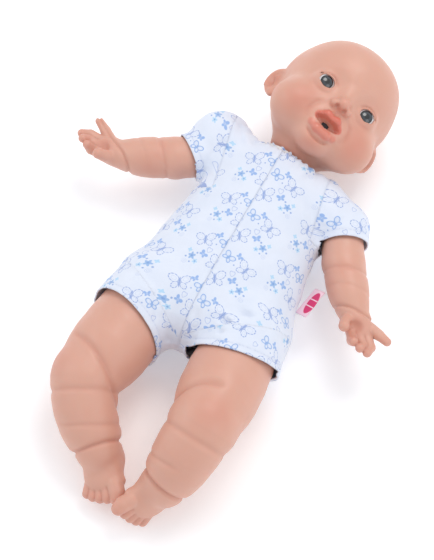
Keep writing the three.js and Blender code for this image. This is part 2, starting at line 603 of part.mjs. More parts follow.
function buildLeg(name, side) {
  const path = new THREE.CatmullRomCurve3([
    v3(0, 0, 0), v3(0, -34, 0), v3(0, -68, 1), v3(0, -90, -3), v3(0, -107, -22), v3(0, -120, -44),
  ]);
  const outer = [[0, -4], ...LEG_PROFILE.map(([r, s]) => [r, -s]), [0, -148]];
  const hollow = LEG_PROFILE.slice(2, 14).map(([r, s]) => [r - SKIN + 0.2, -s]);
  const inner = [[0, 2], [24.2, 2], ...hollow, [0, -138]];
  const inward = -side;
  const ahead = [0, -0.72, -0.69];
  const top = [0, -0.69, 0.72];
  const foot = (x, along, up) => [
    inward * x, -120 + along * ahead[1] + up * top[1], -44 + along * ahead[2] + up * top[2],
  ];
  const sole = new THREE.SphereGeometry(1, 12, 7).scale(16, 22, 12).rotateX(THREE.MathUtils.degToRad(44));
  sole.translate(...foot(0, 17, -1));
  const toes = [-1, 0, 1, 2].map((i) => digit(
    foot(-3 - i * 3.9, 30, 0), foot(-3.4 - i * 4.2, 38 - i * 1.6, 2), 4.4, 3.9,
  ));
  const leg = new THREE.Group();
  leg.position.set(...hipAt(side));
  const aim = new THREE.Quaternion().setFromUnitVectors(v3(0, -1, 0), v3(...THIGH[side]).normalize());
  const turn = new THREE.Quaternion().setFromAxisAngle(
    v3(0, 1, 0), side * THREE.MathUtils.degToRad(LEG_TURN[side]),
  );
  leg.quaternion.copy(aim).multiply(turn);
  doll.add(leg);
  add(leg, `leg_${name}_shell`, cut(
    union(
      alongPath(outer, path, round, 16), solid(sole), ball(...foot(0, 2, -9), 15, 15, 15, 12),
      digit(foot(8, 28, 0), foot(9, 40, 1), 7.4, 6.6), ...toes,
    ),
    alongPath(inner, path, round, 12),
    ball(...foot(0, 6, -3), 12, 12, 11, 10),
  ), VINYL);
  const { ball: r, tube, bore, hem } = HIP;
  add(leg, `leg_cover_${name}`, cut(
    union(ball(0, 0, 0, r, r, r, 20), bar([0, 0, 0], [0, -hem, 0], tube, tube, 24)),
    bar([0, -2, 0], [0, -hem - 1, 0], bore, bore, 24),
    bar([0, -hem, 0], [0, -hem - 12, 0], r + 2, r + 2, 24),
  ), JERSEY);
  limbTie(`leg_tie_${name}`, leg, 28, 30.4, 9, 2.6);
}

for (const [name, side] of [['left', LEFT], ['right', RIGHT]]) {
  buildArm(name, side);
  buildLeg(name, side);
}

export default doll;
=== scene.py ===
"""Interactive baby doll lying on its back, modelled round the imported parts.

Shapes are written in millimetres, in the frame of the head, an arm, a leg or the whole doll,
and become meshes in metres in the doll's frame: +X its left, +Y its crown, +Z its front.
"""
import json
import math

import bmesh
import bpy
import numpy as np
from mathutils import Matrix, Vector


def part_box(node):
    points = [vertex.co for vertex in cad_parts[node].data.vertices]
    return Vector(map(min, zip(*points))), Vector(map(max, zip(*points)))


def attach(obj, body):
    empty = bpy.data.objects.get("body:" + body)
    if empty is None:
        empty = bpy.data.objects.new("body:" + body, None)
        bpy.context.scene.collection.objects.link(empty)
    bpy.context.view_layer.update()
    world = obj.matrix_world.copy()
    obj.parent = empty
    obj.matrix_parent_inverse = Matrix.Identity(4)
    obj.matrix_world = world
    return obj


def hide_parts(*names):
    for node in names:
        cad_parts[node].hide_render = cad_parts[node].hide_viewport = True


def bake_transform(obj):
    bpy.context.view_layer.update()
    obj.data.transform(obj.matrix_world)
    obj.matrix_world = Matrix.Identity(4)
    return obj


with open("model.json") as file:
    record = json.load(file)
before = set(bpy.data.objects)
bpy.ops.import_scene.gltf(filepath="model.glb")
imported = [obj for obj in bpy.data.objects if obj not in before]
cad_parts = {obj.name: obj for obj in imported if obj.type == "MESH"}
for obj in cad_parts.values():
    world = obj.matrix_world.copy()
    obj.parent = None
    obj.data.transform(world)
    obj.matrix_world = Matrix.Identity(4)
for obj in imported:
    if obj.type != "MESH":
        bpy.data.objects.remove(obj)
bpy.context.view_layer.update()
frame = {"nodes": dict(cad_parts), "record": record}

import openvdb
from mathutils import Matrix, Vector

MM = 0.001
SIDES = {"left": 1, "right": -1}
JOINTS = {j["name"]: j for j in frame["record"]["behaviour"]["joints"]}


# ---- frames ----
def unit(v):
    v = np.array(v, float)
    return v / np.linalg.norm(v)


class Place:
    """A right-handed frame given by its origin in mm and the directions of its axes."""

    def __init__(self, origin, y, z):
        self.origin = np.array(origin, float)
        y = unit(y)
        x = unit(np.cross(y, z))
        self.axes = np.column_stack([x, y, np.cross(x, y)])

    def out(self, p):
        return self.origin + np.asarray(p) @ self.axes.T

    def into(self, p):
        return (np.asarray(p) - self.origin) @ self.axes


def joint_place(name):
    return np.array(JOINTS[name]["pos_m"], float) / MM


FACE_AHEAD = -np.array(JOINTS["mouth_press"]["axis"], float)
HEAD = Place(joint_place("head_turn"), JOINTS["head_turn"]["axis"], FACE_AHEAD)
HEAD.origin = HEAD.out([0, 73, 14])
DOLL = Place([0, 0, 0], [0, 1, 0], [0, 0, 1])


def arm_place(name):
    down = np.array(JOINTS[f"arm_{name}_twist"]["axis"], float)
    return Place(joint_place(f"shoulder_{name}_swing"), -down, [0, 0, 1])


# how far each leg is turned in its cover, in degrees
LEG_TURN = {"left": 17, "right": 62}


def leg_place(name):
    """The thigh's own direction comes first, and then the turn of the foot about it."""
    side = SIDES[name]
    down = unit(np.array(JOINTS[f"leg_{name}_twist"]["axis"], float) * side)
    aim = Vector((0, -1, 0)).rotation_difference(Vector(down))
    turn = Matrix.Rotation(side * math.radians(LEG_TURN[name]), 3, "Y")
    axes = np.array(aim.to_matrix() @ turn)
    return Place(joint_place(f"hip_{name}_lift"), axes[:, 1], axes[:, 2])


# ---- distance fields ----
def ell(p, centre, radii):
    """Distance to an ellipsoid, exact enough near its surface."""
    q = p - np.array(centre, p.dtype)
    r = np.array(radii, p.dtype)
    k0 = np.linalg.norm(q / r, axis=1)
    k1 = np.linalg.norm(q / (r * r), axis=1)
    return k0 * (k0 - 1) / np.maximum(k1, 1e-6)


def rod(p, a, b, ra, rb):
    a, b = np.array(a, p.dtype), np.array(b, p.dtype)
    ab = b - a
    t = np.clip((p - a) @ ab / (ab @ ab), 0, 1)
    return np.linalg.norm(p - a - t[:, None] * ab, axis=1) - (ra + (rb - ra) * t)


def join(a, b, k):
    h = np.clip(0.5 + 0.5 * (b - a) / k, 0, 1)
    return b * (1 - h) + a * h - k * h * (1 - h)


def carve(a, b, k):
    return -join(-a, b, k)


def chain(p, stations, k=3.0):
    """A bent tube through (x, y, z, radius) stations."""
    d = None
    for s, t in zip(stations, stations[1:]):
        piece = rod(p, s[:3], t[:3], s[3], t[3])
        d = piece if d is None else join(d, piece, k)
    return d


def bump(x, width):
    return np.exp(-((x / width) ** 2))


def fade(x, low, high):
    t = np.clip((x - low) / (high - low), 0, 1)
    return t * t * (3 - 2 * t)


def fold(p, centre, normal, width, facing=None, reach=0.0):
    """How much a point lies in a fold line: a plane that fades on the side it doesn't face."""
    q = p - np.array(centre, p.dtype)
    g = bump(q @ np.array(unit(normal), p.dtype), width)
    if facing is not None:
        g = g * fade(q @ np.array(unit(facing), p.dtype), reach - 6, reach + 6)
    return g


def mirrored(p):
    q = p.copy()
    q[:, 0] = np.abs(q[:, 0])
    return q


# ---- meshes from fields ----
BLOCK = 8


def polygonise(field, low, high, step):
    """Quads on the field's zero surface; only blocks near it are sampled."""
    low, high = np.array(low, float), np.array(high, float)
    size = BLOCK * step
    count = np.ceil((high - low) / size).astype(int)
    index = np.stack(np.meshgrid(*map(np.arange, count), indexing="ij"), -1).reshape(-1, 3)
    centres = (low + (index + 0.5) * size).astype(np.float32)
    guess = field(centres)
    near = np.abs(guess) < size * 1.25 + 2.0
    blocks = np.empty((len(index), BLOCK, BLOCK, BLOCK), np.float32)
    blocks[:] = np.where(guess < 0, -1, 1)[:, None, None, None] * size
    local = np.stack(np.meshgrid(*[np.arange(BLOCK)] * 3, indexing="ij"), -1).reshape(-1, 3)
    active = np.nonzero(near)[0]
    for part in np.array_split(active, max(1, len(active) // 600)):
        points = low + (index[part][:, None, :] * BLOCK + local[None]) * step
        values = field(points.reshape(-1, 3).astype(np.float32))
        blocks[part] = values.reshape(len(part), BLOCK, BLOCK, BLOCK)
    cube = blocks.reshape(*count, BLOCK, BLOCK, BLOCK).transpose(0, 3, 1, 4, 2, 5)
    cube = np.ascontiguousarray(cube.reshape(*(count * BLOCK)))
    grid = openvdb.FloatGrid(float(size))
    grid.copyFromArray(cube)
    points, quads = grid.convertToQuads()
    points = low + np.asarray(points, float) * step
    return settle(field, points, step), np.asarray(quads, int)


def settle(field, points, step):
    """Moves points onto the surface along the field's slope."""
    probe = 0.05
    for _ in range(3):
        d = field(points)
        rises = [field(points + reach) - field(points - reach) for reach in np.eye(3) * probe]
        slope = np.stack(rises, 1) / (2 * probe)
        move = d[:, None] * slope / np.maximum((slope**2).sum(1), 0.05)[:, None]
        far = np.linalg.norm(move, axis=1)
        points = points - move * np.minimum(1, 0.7 * step / np.maximum(far, 1e-9))[:, None]
    return points


def facing_out(points, quads):
    a, b, c = points[quads[:, 0]], points[quads[:, 1]], points[quads[:, 2]]
    d = points[quads[:, 3]]
    volume = (a * np.cross(b, c)).sum() + (a * np.cross(c, d)).sum()
    return quads if volume > 0 else quads[:, ::-1]


def make(name, points, faces, place=DOLL):
    """A mesh object from points in mm in a frame's own axes."""
    mesh = bpy.data.meshes.new(name)
    mesh.from_pydata((place.out(points) * MM).tolist(), [], [[int(i) for i in face] for face in faces])
    mesh.validate()
    mesh.shade_smooth()
    piece = bpy.data.objects.new(name, mesh)
    bpy.context.scene.collection.objects.link(piece)
    return piece


def tint(piece, name, values):
    attribute = piece.data.attributes.new(name, "FLOAT", "POINT")
    attribute.data.foreach_set("value", np.asarray(values, np.float32))


def sculpt(name, field, low, high, step, place):
    points, quads = polygonise(field, low, high, step)
    return make(name, points, facing_out(points, quads), place), points


def lathe(name, profile, place, centre, sides):
    """A turned piece from (radius, height) pairs; the ends close on the axis."""
    turn = np.linspace(0, 2 * math.pi, sides, endpoint=False)
    points, faces = [], []
    for r, h in profile:
        points += [(r * math.cos(a), r * math.sin(a), h) for a in turn]
    for i in range(len(profile) - 1):
        for j in range(sides):
            k = (j + 1) % sides
            faces.append([i * sides + j, i * sides + k, (i + 1) * sides + k, (i + 1) * sides + j])
    faces += [list(range(sides))[::-1], [(len(profile) - 1) * sides + j for j in range(sides)]]
    return make(name, np.array(points) + np.array(centre), faces, place)


# ---- shader nodes ----
class Graph:
    """A material's nodes, with short names for the sums in it."""

    def __init__(self, name):
        self.material = bpy.data.materials.new(name)
        self.material.use_nodes = True
        self.nodes = self.material.node_tree.nodes
        self.links = self.material.node_tree.links
        self.shader = self.nodes["Principled BSDF"]

    def node(self, kind, **settings):
        node = self.nodes.new("ShaderNode" + kind)
        for key, value in settings.items():
            setattr(node, key, value)
        return node

    def feed(self, socket, value):
        if isinstance(value, bpy.types.NodeSocket):
            self.links.new(value, socket)
        elif value is not None:
            socket.default_value = value

    def math(self, operation, a, b=None):
        node = self.node("Math", operation=operation)
        for socket, value in zip(node.inputs, (a, b)):
            self.feed(socket, value)
        return node.outputs[0]

    def vector(self, operation, a, scale=None):
        node = self.node("VectorMath", operation=operation)
        self.feed(node.inputs[0], a)
        if scale is not None:
            self.feed(node.inputs["Scale"], scale)
        return node.outputs["Value" if operation == "LENGTH" else "Vector"]

    def mix(self, amount, a, b):
        node = self.node("Mix", data_type="RGBA")
        self.feed(node.inputs["Factor"], amount)
        self.feed(node.inputs[6], a)
        self.feed(node.inputs[7], b)
        return node.outputs[2]

    def band(self, value, low, high, start=0.0, end=1.0):
        node = self.node("MapRange", interpolation_type="SMOOTHSTEP")
        self.feed(node.inputs["Value"], value)
        for key, number in (("From Min", low), ("From Max", high), ("To Min", start), ("To Max", end)):
            node.inputs[key].default_value = number
        return node.outputs["Result"]

    def noise(self, scale, detail=3.0):
        node = self.node("TexNoise")
        node.inputs["Scale"].default_value = scale
        node.inputs["Detail"].default_value = detail
        self.feed(node.inputs["Vector"], self.node("TexCoord").outputs["Object"])
        return node.outputs["Fac"]

    def attribute(self, name):
        return self.node("Attribute", attribute_name=name).outputs["Fac"]

    def times(self, a, b):
        return self.math("MULTIPLY", a, b)

    def less(self, a, b):
        return self.math("SUBTRACT", a, b)

    def plus(self, a, b):
        return self.math("ADD", a, b)

    def bump(self, height, distance, strength=1.0, normal=None):
        node = self.node("Bump")
        node.inputs["Strength"].default_value = strength
        node.inputs["Distance"].default_value = distance
        self.feed(node.inputs["Height"], height)
        self.feed(node.inputs["Normal"], normal)
        return node.outputs["Normal"]

    def set(self, **values):
        for key, value in values.items():
            self.feed(self.shader.inputs[key.replace("_", " ")], value)
        return self.material


def srgb(r, g, b):
    """A colour given as 0-255 screen values."""
    linear = [((v / 255 + 0.055) / 1.055) ** 2.4 if v > 10 else v / 3294.6 for v in (r, g, b)]
    return (*linear, 1.0)


SKIN = srgb(217, 164, 144)
SKIN_DEEP = srgb(204, 118, 98)
# painted shade: the colour that the skin's creases and hollows are darkened towards
SKIN_FOLD_SHADE = srgb(186, 108, 88)


def vinyl():
    g = Graph("vinyl")
    cloud = g.noise(38, 3)
    colour = g.mix(g.band(cloud, 0.35, 0.7, 0, 0.16), SKIN, srgb(209, 148, 127))
    colour = g.mix(g.times(g.attribute("blush"), 0.75), colour, SKIN_DEEP)
    # painted shade in the creases and hollows of the skin, from the crease attribute
    colour = g.mix(g.times(g.attribute("crease_shade"), 0.75), colour, SKIN_FOLD_SHADE)
    colour = g.mix(g.attribute("lip"), colour, srgb(214, 118, 100))
    colour = g.mix(g.attribute("inner"), colour, srgb(196, 82, 62))
    grain = g.noise(1400, 2)
    rough = g.band(g.noise(160, 2), 0.3, 0.7, 0.40, 0.50)
    rough = g.less(rough, g.times(g.attribute("lip"), 0.17))
    return g.set(
        Base_Color=colour, Roughness=rough, Normal=g.bump(grain, 0.00006, 0.5),
        Subsurface_Weight=0.16, Subsurface_Radius=(1.0, 0.35, 0.2), Subsurface_Scale=0.004,
        Coat_Weight=0.06, Coat_Roughness=0.35,
    )


# ---- the print ----
TILE = 41.0


class Print(Graph):
    """Small blue motifs on a repeating tile, drawn from the cloth's own lengthwise coordinates."""

    def lay(self):
        uv = self.node("UVMap", uv_map="cloth").outputs["UV"]
        cell = self.vector("SCALE", uv, scale=1000 / TILE)
        across, up = self.parts(cell)
        column = self.math("FLOOR", across)
        odd = self.math("FLOORED_MODULO", column, 2)
        v = self.math("FRACT", self.plus(up, self.times(odd, 0.5)))
        flip = self.less(1, self.times(odd, 2))
        u = self.plus(self.times(self.less(self.less(across, column), 0.5), flip), 0.5)
        tile = self.node("CombineXYZ")
        self.feed(tile.inputs[0], self.times(u, TILE))
        self.feed(tile.inputs[1], self.times(v, TILE))
        self.tile = tile.outputs[0]

    def at(self, x, y, turn=0.0, source=None, sizes=(1, 1)):
        """Coordinates with a motif's middle at the origin, turned to its own axes."""
        node = self.node("Mapping", vector_type="TEXTURE")
        self.feed(node.inputs["Vector"], source or self.tile)
        node.inputs["Location"].default_value = (x, y, 0)
        node.inputs["Rotation"].default_value = (0, 0, math.radians(turn))
        node.inputs["Scale"].default_value = (sizes[0], sizes[1], 1)
        return node.outputs[0]

    def oval(self, source, x, y, a, b, turn):
        """Roughly the distance in mm outside an oval."""
        ring = self.vector("LENGTH", self.at(x, y, turn, source, (a, b)))
        return self.times(self.less(ring, 1), (a + b) / 2)

    def line(self, distance, width):
        return self.band(self.math("ABSOLUTE", distance), width * 0.45, width, 1, 0)

    def fill(self, distance, soft=0.25):
        return self.band(distance, -soft, soft, 1, 0)

    def parts(self, source):
        split = self.node("SeparateXYZ")
        self.feed(split.inputs[0], source)
        return split.outputs[0], split.outputs[1]

    def polar(self, source):
        """The angle and the length of a point about a motif's middle."""
        across, up = self.parts(source)
        return self.math("ARCTAN2", up, across), self.vector("LENGTH", source)

    def most(self, *values):
        found = values[0]
        for value in values[1:]:
            found = self.math("MAXIMUM", found, value)
        return found

    def wings(self, x, y, turn, s):
        """Both ovals of one wing, seen from the body; the other wing mirrors it."""
        own = self.at(x, y, turn)
        across, up = self.parts(own)
        half = self.node("CombineXYZ")
        self.feed(half.inputs[0], self.math("ABSOLUTE", across))
        self.feed(half.inputs[1], up)
        upper = self.oval(half.outputs[0], 0.25 * s, 0.14 * s, 0.23 * s, 0.17 * s, 38)
        lower = self.oval(half.outputs[0], 0.19 * s, -0.17 * s, 0.17 * s, 0.12 * s, -42)
        body = self.oval(own, 0, -0.02 * s, 0.035 * s, 0.24 * s, 0)
        return upper, lower, body, own

    def butterfly(self, x, y, turn, s, width, dashed=False):
        upper, lower, body, own = self.wings(x, y, turn, s)
        outline = self.line(self.math("MINIMUM", upper, lower), width)
        if dashed:
            angle, _ = self.polar(own)
            beat = self.math("SINE", self.times(angle, 26))
            outline = self.times(outline, self.band(beat, -0.7, 0.0, 0.25, 1))
        inner = self.math("MINIMUM", self.plus(upper, 0.1 * s), self.plus(lower, 0.08 * s))
        return self.most(outline, self.fill(body, 0.2), self.times(self.line(inner, width * 0.5), 0.25))

    def solid(self, x, y, turn, s):
        upper, lower, body, _ = self.wings(x, y, turn, s)
        return self.fill(self.math("MINIMUM", self.math("MINIMUM", upper, lower), body))

    def flower(self, x, y, r, petals, turn):
        angle, length = self.polar(self.at(x, y, turn))
        lobe = self.math("COSINE", self.times(angle, petals))
        edge = self.plus(r * 0.78, self.times(lobe, r * 0.22))
        return self.fill(self.less(length, edge)), self.fill(self.less(length, r * 0.28))

    def spiral(self, x, y, r):
        angle, length = self.polar(self.at(x, y))
        turns = self.plus(self.math("DIVIDE", length, r * 0.42), self.math("DIVIDE", angle, 2 * math.pi))
        wave = self.math("ABSOLUTE", self.less(self.math("FRACT", turns), 0.5))
        return self.times(self.band(wave, 0.06, 0.16, 1, 0), self.fill(self.less(length, r)))

    def heart(self, x, y, turn, s):
        across, up = self.parts(self.at(x, y, turn))
        across = self.math("ABSOLUTE", across)
        down = self.less(up, self.times(self.math("POWER", across, 0.7), 0.75))
        both = self.math("SQRT", self.plus(self.times(across, across), self.times(down, down)))
        return self.line(self.less(both, s), 0.42)

    def paint(self, base):
        """The motifs over the cloth's own colour."""
        self.lay()
        faint = self.most(
            self.heart(20, 18.5, 10, 2.0), self.spiral(34.3, 3.2, 2.2), self.heart(3.2, 22, -25, 1.8)
        )
        outlines = self.most(
            self.butterfly(9.6, 9.6, 24, 18, 0.5, True), self.butterfly(27.5, 26.5, -18, 17, 0.5, True)
        )
        small = self.butterfly(11, 30, -30, 11, 0.55)
        solids = self.most(self.solid(22.5, 14.0, 35, 7.5), self.solid(18.5, 34.2, -40, 6.5))
        petal_a, eye_a = self.flower(30.6, 9.6, 3.3, 5, 10)
        petal_b, eye_b = self.flower(26.2, 6.0, 2.3, 5, 40)
        petal_c, _ = self.flower(34.2, 13.8, 2.0, 4, 0)
        spots = [(27.2, 13.0, 0.8), (35, 7.6, 0.8), (30.3, 4.2, 0.7), (17.6, 25.8, 0.6)]
        rounds = [self.less(self.vector("LENGTH", self.at(x, y)), r) for x, y, r in spots]
        dots = self.most(*[self.fill(outside) for outside in rounds])
        layers = [
            (faint, 0.75, srgb(160, 178, 222)), (outlines, 0.85, srgb(92, 132, 204)),
            (small, 0.9, srgb(104, 156, 220)), (solids, 0.9, srgb(110, 160, 224)),
            (self.most(petal_b, petal_c), 0.8, srgb(150, 205, 238)), (petal_a, 0.9, srgb(118, 168, 222)),
            (self.most(eye_a, eye_b, dots), 0.8, srgb(84, 136, 206)),
        ]
        colour = base
        for shape, strength, blue in layers:
            colour = self.mix(self.times(shape, strength), colour, blue)
        return colour


def jersey(name="jersey", printed=True):
    g = Print(name)
    base = g.mix(g.band(g.noise(60, 2), 0.3, 0.7, 0, 0.5), srgb(226, 231, 243), srgb(218, 225, 240))
    colour = g.mix(0.2, g.paint(base), base) if printed else base
    # painted shade: the cloth is darkened in its wrinkles and by the collar, and in the grooves of its seams and
    # hems
    colour = g.mix(g.times(g.attribute("crease_shade"), 0.5), colour, srgb(168, 178, 205))
    colour = g.mix(g.times(g.attribute("seam"), 0.2), colour, srgb(160, 172, 205))
    uv = g.node("UVMap", uv_map="cloth").outputs["UV"]
    rib = g.node("TexWave", wave_type="BANDS", bands_direction="X")
    g.feed(rib.inputs["Vector"], uv)
    rib.inputs["Scale"].default_value = 420
    rib.inputs["Distortion"].default_value = 1.2
    course = g.node("TexWave", wave_type="BANDS", bands_direction="Y")
    g.feed(course.inputs["Vector"], uv)
    course.inputs["Scale"].default_value = 330
    knit = g.plus(rib.outputs["Fac"], g.times(course.outputs["Fac"], 0.6))
    knit = g.plus(knit, g.times(g.noise(1500, 2), 0.8))
    fuzz = g.bump(g.noise(240, 3), 0.0004, 0.35)
    return g.set(
        Base_Color=colour, Roughness=g.band(g.noise(300, 2), 0.3, 0.7, 0.82, 0.95),
        Normal=g.bump(knit, 0.00012, 0.6, fuzz), Sheen_Weight=0.25, Sheen_Roughness=0.5,
        Subsurface_Weight=0.05, Subsurface_Radius=(1, 1, 1), Subsurface_Scale=0.002,
    )


# ---- head ----
EYE = (21.0, -11.5, 33.0)
MOUTH_Y = -41.0


def almond(p):
    """Outside of the opening between the lids, seen from the front."""
    x = p[:, 0] - EYE[0]
    y = p[:, 1] - EYE[1] - 0.01 * x * x
    rise = np.where(y > 0, 5.3, 4.5)
    return (np.sqrt((x / 6.4) ** 2 + (y / rise) ** 2) - 1) * 5.2


# each lip from its corner to the middle: x, y, z and radius
UPPER_LIP = [(15.4, -41.4, 36.0, 1.0), (10, -37.4, 41.4, 2.2), (4.4, -34.6, 45.8, 3.4), (0, -35.8, 46.4, 3.3)]
LOWER_LIP = [(15.2, -41.8, 36.0, 1.0), (10.5, -45.4, 39.8, 1.9), (5, -47.8, 42.4, 2.6), (0, -48.4, 43.0, 2.9)]


def lips(p):
    q = mirrored(p)
    return chain(q, UPPER_LIP, 2), chain(q, LOWER_LIP, 3)


def mouth_gap(p):
    q = mirrored(p)
    reach = np.array(q)
    reach[:, 1] = reach[:, 1] + 0.012 * (12 - q[:, 0]) ** 2 - 1.7
    return ell(reach, (0, MOUTH_Y - 0.2, 46), (13.4, 3.5, 8.2))


def ear(p):
    """One ear in its own leaning frame: across the ear, up, and outwards."""
    q = (mirrored(p) - np.array((47.6, -18, -8), p.dtype)) * 1.14
    w, n = np.array((0.68, 0, -0.73), p.dtype), np.array((0.73, 0, 0.68), p.dtype)
    e = np.stack([q @ w, q[:, 1], q @ n], 1)
    plate = ell(e, (0, 0, 0), (9.5, 14.0, 3.6))
    ring = np.sqrt((e[:, 0] / 8.6) ** 2 + ((e[:, 1] - 1) / 12.2) ** 2)
    rim = np.sqrt(((ring - 1) * 9.5) ** 2 + (e[:, 2] - 2.2) ** 2) - np.where(e[:, 1] < -8, 1.2, 2.1)
    bowl = ell(e, (1.4, 0.5, 5.4), (4.6, 8.4, 5.0))
    lobe = ell(e, (-2.5, -11.5, 0.8), (4.0, 4.4, 3.0))
    fin = rod(e, (1.5, 5.5, 2.4), (-2.8, -4.5, 2.6), 1.5, 1.2)
    d = join(join(plate, rim, 2.0), lobe, 2.0)
    d = carve(d, bowl, 1.6)
    return join(d, fin, 1.8)


def ring_line(x, y, a, b, width):
    """How near a point is to an ellipse's outline."""
    return bump(np.sqrt((x / a) ** 2 + (y / b) ** 2) - 1, width)


def head_folds(p):
    """The creases of the lids, cheeks, chin, upper lip and neck."""
    q = mirrored(p)
    x, y = q[:, 0] - EYE[0], q[:, 1] - EYE[1]
    front = fade(q[:, 2], 24, 32)
    lid = ring_line(x, y + 1.5, 9.6, 9.4, 0.085) * fade(y, 1, 5) * front
    under = ring_line(x, y - 1.5, 10.5, 10.5, 0.11) * fade(-y, 3, 7) * front * 0.5
    smile = ring_line(q[:, 0] - 1.5, q[:, 1] + 38, 17.5, 17, 0.12)
    smile = smile * fade(q[:, 1], -46, -36) * fade(-q[:, 1], 24, 29) * fade(q[:, 0], 9, 13) * front
    chin = ring_line(q[:, 0], q[:, 1] + 44, 12, 10.2, 0.12) * fade(-q[:, 1], 49, 52) * front
    dip = bump(q[:, 0], 1.9) * fade(q[:, 1], -32, -30) * fade(-q[:, 1], 26.5, 28.5) * front
    neck = fold(p, (0, -61.5, -8), (0, 1, 0.25), 2.2)
    return lid, under, smile, chin, dip, neck * fade(-q[:, 1], 50, 56)


def head_field(p):
    q = mirrored(p)
    d = ell(p, (0, 3, -6), (49.2, 46.5, 52.5))
    d = join(d, ell(p, (0, -27, 5), (42.5, 31, 38)), 14)
    d = join(d, ell(p, (0, 17, 14), (37, 27, 33.5)), 12)
    d = join(d, ell(q, (27.5, -33, 20), (20.5, 20.5, 20.8)), 8)
    d = join(d, ell(p, (0, -39.5, 25), (20, 17.5, 19.5)), 9)
    d = join(d, ell(p, (0, -53, 28), (11.5, 7.5, 10)), 8)
    d = carve(d, ell(q, (21, -9.5, 52.5), (12.5, 9.5, 10)), 9)
    lids = np.linalg.norm(q - np.array(EYE, p.dtype), axis=1) - 10.9
    d = join(d, lids, 3.5)
    d = join(d, rod(p, (0, -6, 41), (0, -17, 46), 4.0, 3.6), 7)
    d = join(d, ell(p, (0, -20.5, 48.8), (5.4, 5.0, 5.6)), 3.5)
    d = join(d, ell(q, (6.2, -23, 46), (3.8, 3.4, 4.2)), 2.2)
    d = carve(d, ell(q, (3.7, -25.4, 49.4), (1.9, 2.1, 3.6)), 0.8)
    upper, lower = lips(p)
    d = join(d, upper, 2.2)
    d = join(d, lower, 2.2)
    lid, under, smile, chin, dip, neck = head_folds(p)
    d = d + 0.9 * lid + 0.5 * under + 0.8 * smile + 1.5 * chin + 0.9 * dip
    d = carve(d, mouth_gap(p), 1.6)
    d = join(d, ell(p, (0, -45.5, 37.5), (8.5, 2.8, 5.5)), 2.0)
    off_axis = np.linalg.norm(p[:, :2] - np.array((0, MOUTH_Y), p.dtype), axis=1)
    well = np.maximum(off_axis - 2.6, 20 - p[:, 2])
    d = carve(d, well, 0.8)
    hollow = np.linalg.norm(q - np.array(EYE, p.dtype), axis=1) - 9.95
    d = carve(d, hollow, 0.2)
    slot = np.maximum(almond(q), EYE[2] - q[:, 2])
    d = carve(d, slot, 0.9)
    d = join(d, ear(p), 2.5)
    throat = rod(p, (0, -40, -10), (0, -85, -14), 23, 17.6)
    foot = -84.5 - p[:, 1]
    throat = -join(-throat, -foot, 1.0)
    d = join(d, throat, 9)
    return d + 1.3 * neck


def blob(p, centre, radius):
    return np.exp(-((p - np.array(centre)) ** 2).sum(1) / radius**2)


# warm spots of the face: centre, radius, strength
FACE_BLUSH = [
    ((29, -38, 36), 12, 0.62), ((24, -24, 42), 11, 0.25), ((0, -23, 52), 7, 0.35), ((0, -55, 36), 8, 0.35),
    ((0, -30, 46), 7, 0.3), ((21, -3, 44), 7, 0.14),
]


def build_head():
    piece, p = sculpt("head_skin", head_field, (-62, -90, -64), (62, 60, 60), 1.0, HEAD)
    q = mirrored(p)
    upper, lower = lips(p)
    gap = mouth_gap(p)
    inside = fade(-gap, -0.9, 1.6) * fade(p[:, 2], 0, 6) * (np.abs(p[:, 0]) < 15)
    outside = np.linalg.norm(p - np.array((0, -41, 40)), axis=1) < 20
    lip = np.maximum(fade(-upper, -1.1, -0.2), 0.72 * fade(-lower, -1.2, 0.2)) * outside
    lid, under, smile, chin, dip, neck = head_folds(p)
    blush = sum(amount * blob(q, centre, radius) for centre, radius, amount in FACE_BLUSH)
    # the sides by the ears are blushed; the warmer, darker neck under the jaw is painted shade of the jaw
    blush = blush + 0.22 * fade(q[:, 0], 44, 50) + 0.35 * fade(-q[:, 1], 52, 64)
    # painted shade: the lid, under-eye, smile, chin, upper-lip and neck creases are darkened
    fold_shade = 0.55 * lid + 0.3 * under + 0.35 * smile + 0.5 * chin + 0.15 * dip + 0.6 * neck
    # painted shade in the hollows: the nostrils, the corners of the mouth, round the eye openings and in the
    # ear's bowl
    nostril = fade(-ell(q, (3.5, -25.6, 49.2), (1.7, 1.9, 2.6)), -0.6, 0.5)
    corner = blob(q, (15.4, -41.6, 37), 2.2)
    rim = bump(np.abs(almond(q)), 0.9) * fade(p[:, 2], 34, 37)
    bowl = fade(q[:, 0], 46, 48) * blob(q, (51.5, -17.5, -6.5), 6)
    hollow_shade = 0.85 * nostril + 0.8 * corner + 0.4 * rim + 0.55 * bowl
    tint(piece, "blush", np.clip(blush, 0, 1))
    tint(piece, "crease_shade", np.clip(np.clip(fold_shade, 0, 1) + hollow_shade, 0, 1))
    tint(piece, "lip", np.clip(lip * (1 - inside), 0, 1))
    tint(piece, "inner", np.clip(inside, 0, 1))
    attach(piece, "head")
    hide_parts("head_shell")
    return [piece]


def eye_white(name):
    """The eyeball with its iris and pupil painted round its own axis."""
    g = Graph(name)
    radius = g.attribute("ring")
    white = g.mix(g.band(radius, 7.0, 10.5), srgb(236, 236, 238), srgb(214, 190, 186))
    streak = g.times(g.math("SINE", g.times(g.attribute("turn"), 46)), 0.5)
    fibres = g.band(g.plus(streak, g.times(g.noise(9, 3), 0.8)), 0.0, 1.0)
    iris = g.mix(fibres, srgb(26, 30, 36), srgb(58, 66, 74))
    iris = g.mix(g.band(radius, 3.6, 4.8), iris, srgb(10, 12, 16))
    iris = g.mix(g.band(radius, 1.9, 2.5, 1, 0), iris, srgb(10, 10, 12))
    colour = g.mix(g.band(radius, 5.3, 5.6), iris, white)
    return g.set(Base_Color=colour, Roughness=0.22, Coat_Weight=1.0, Coat_Roughness=0.03)


EYE_RADIUS = 9.7


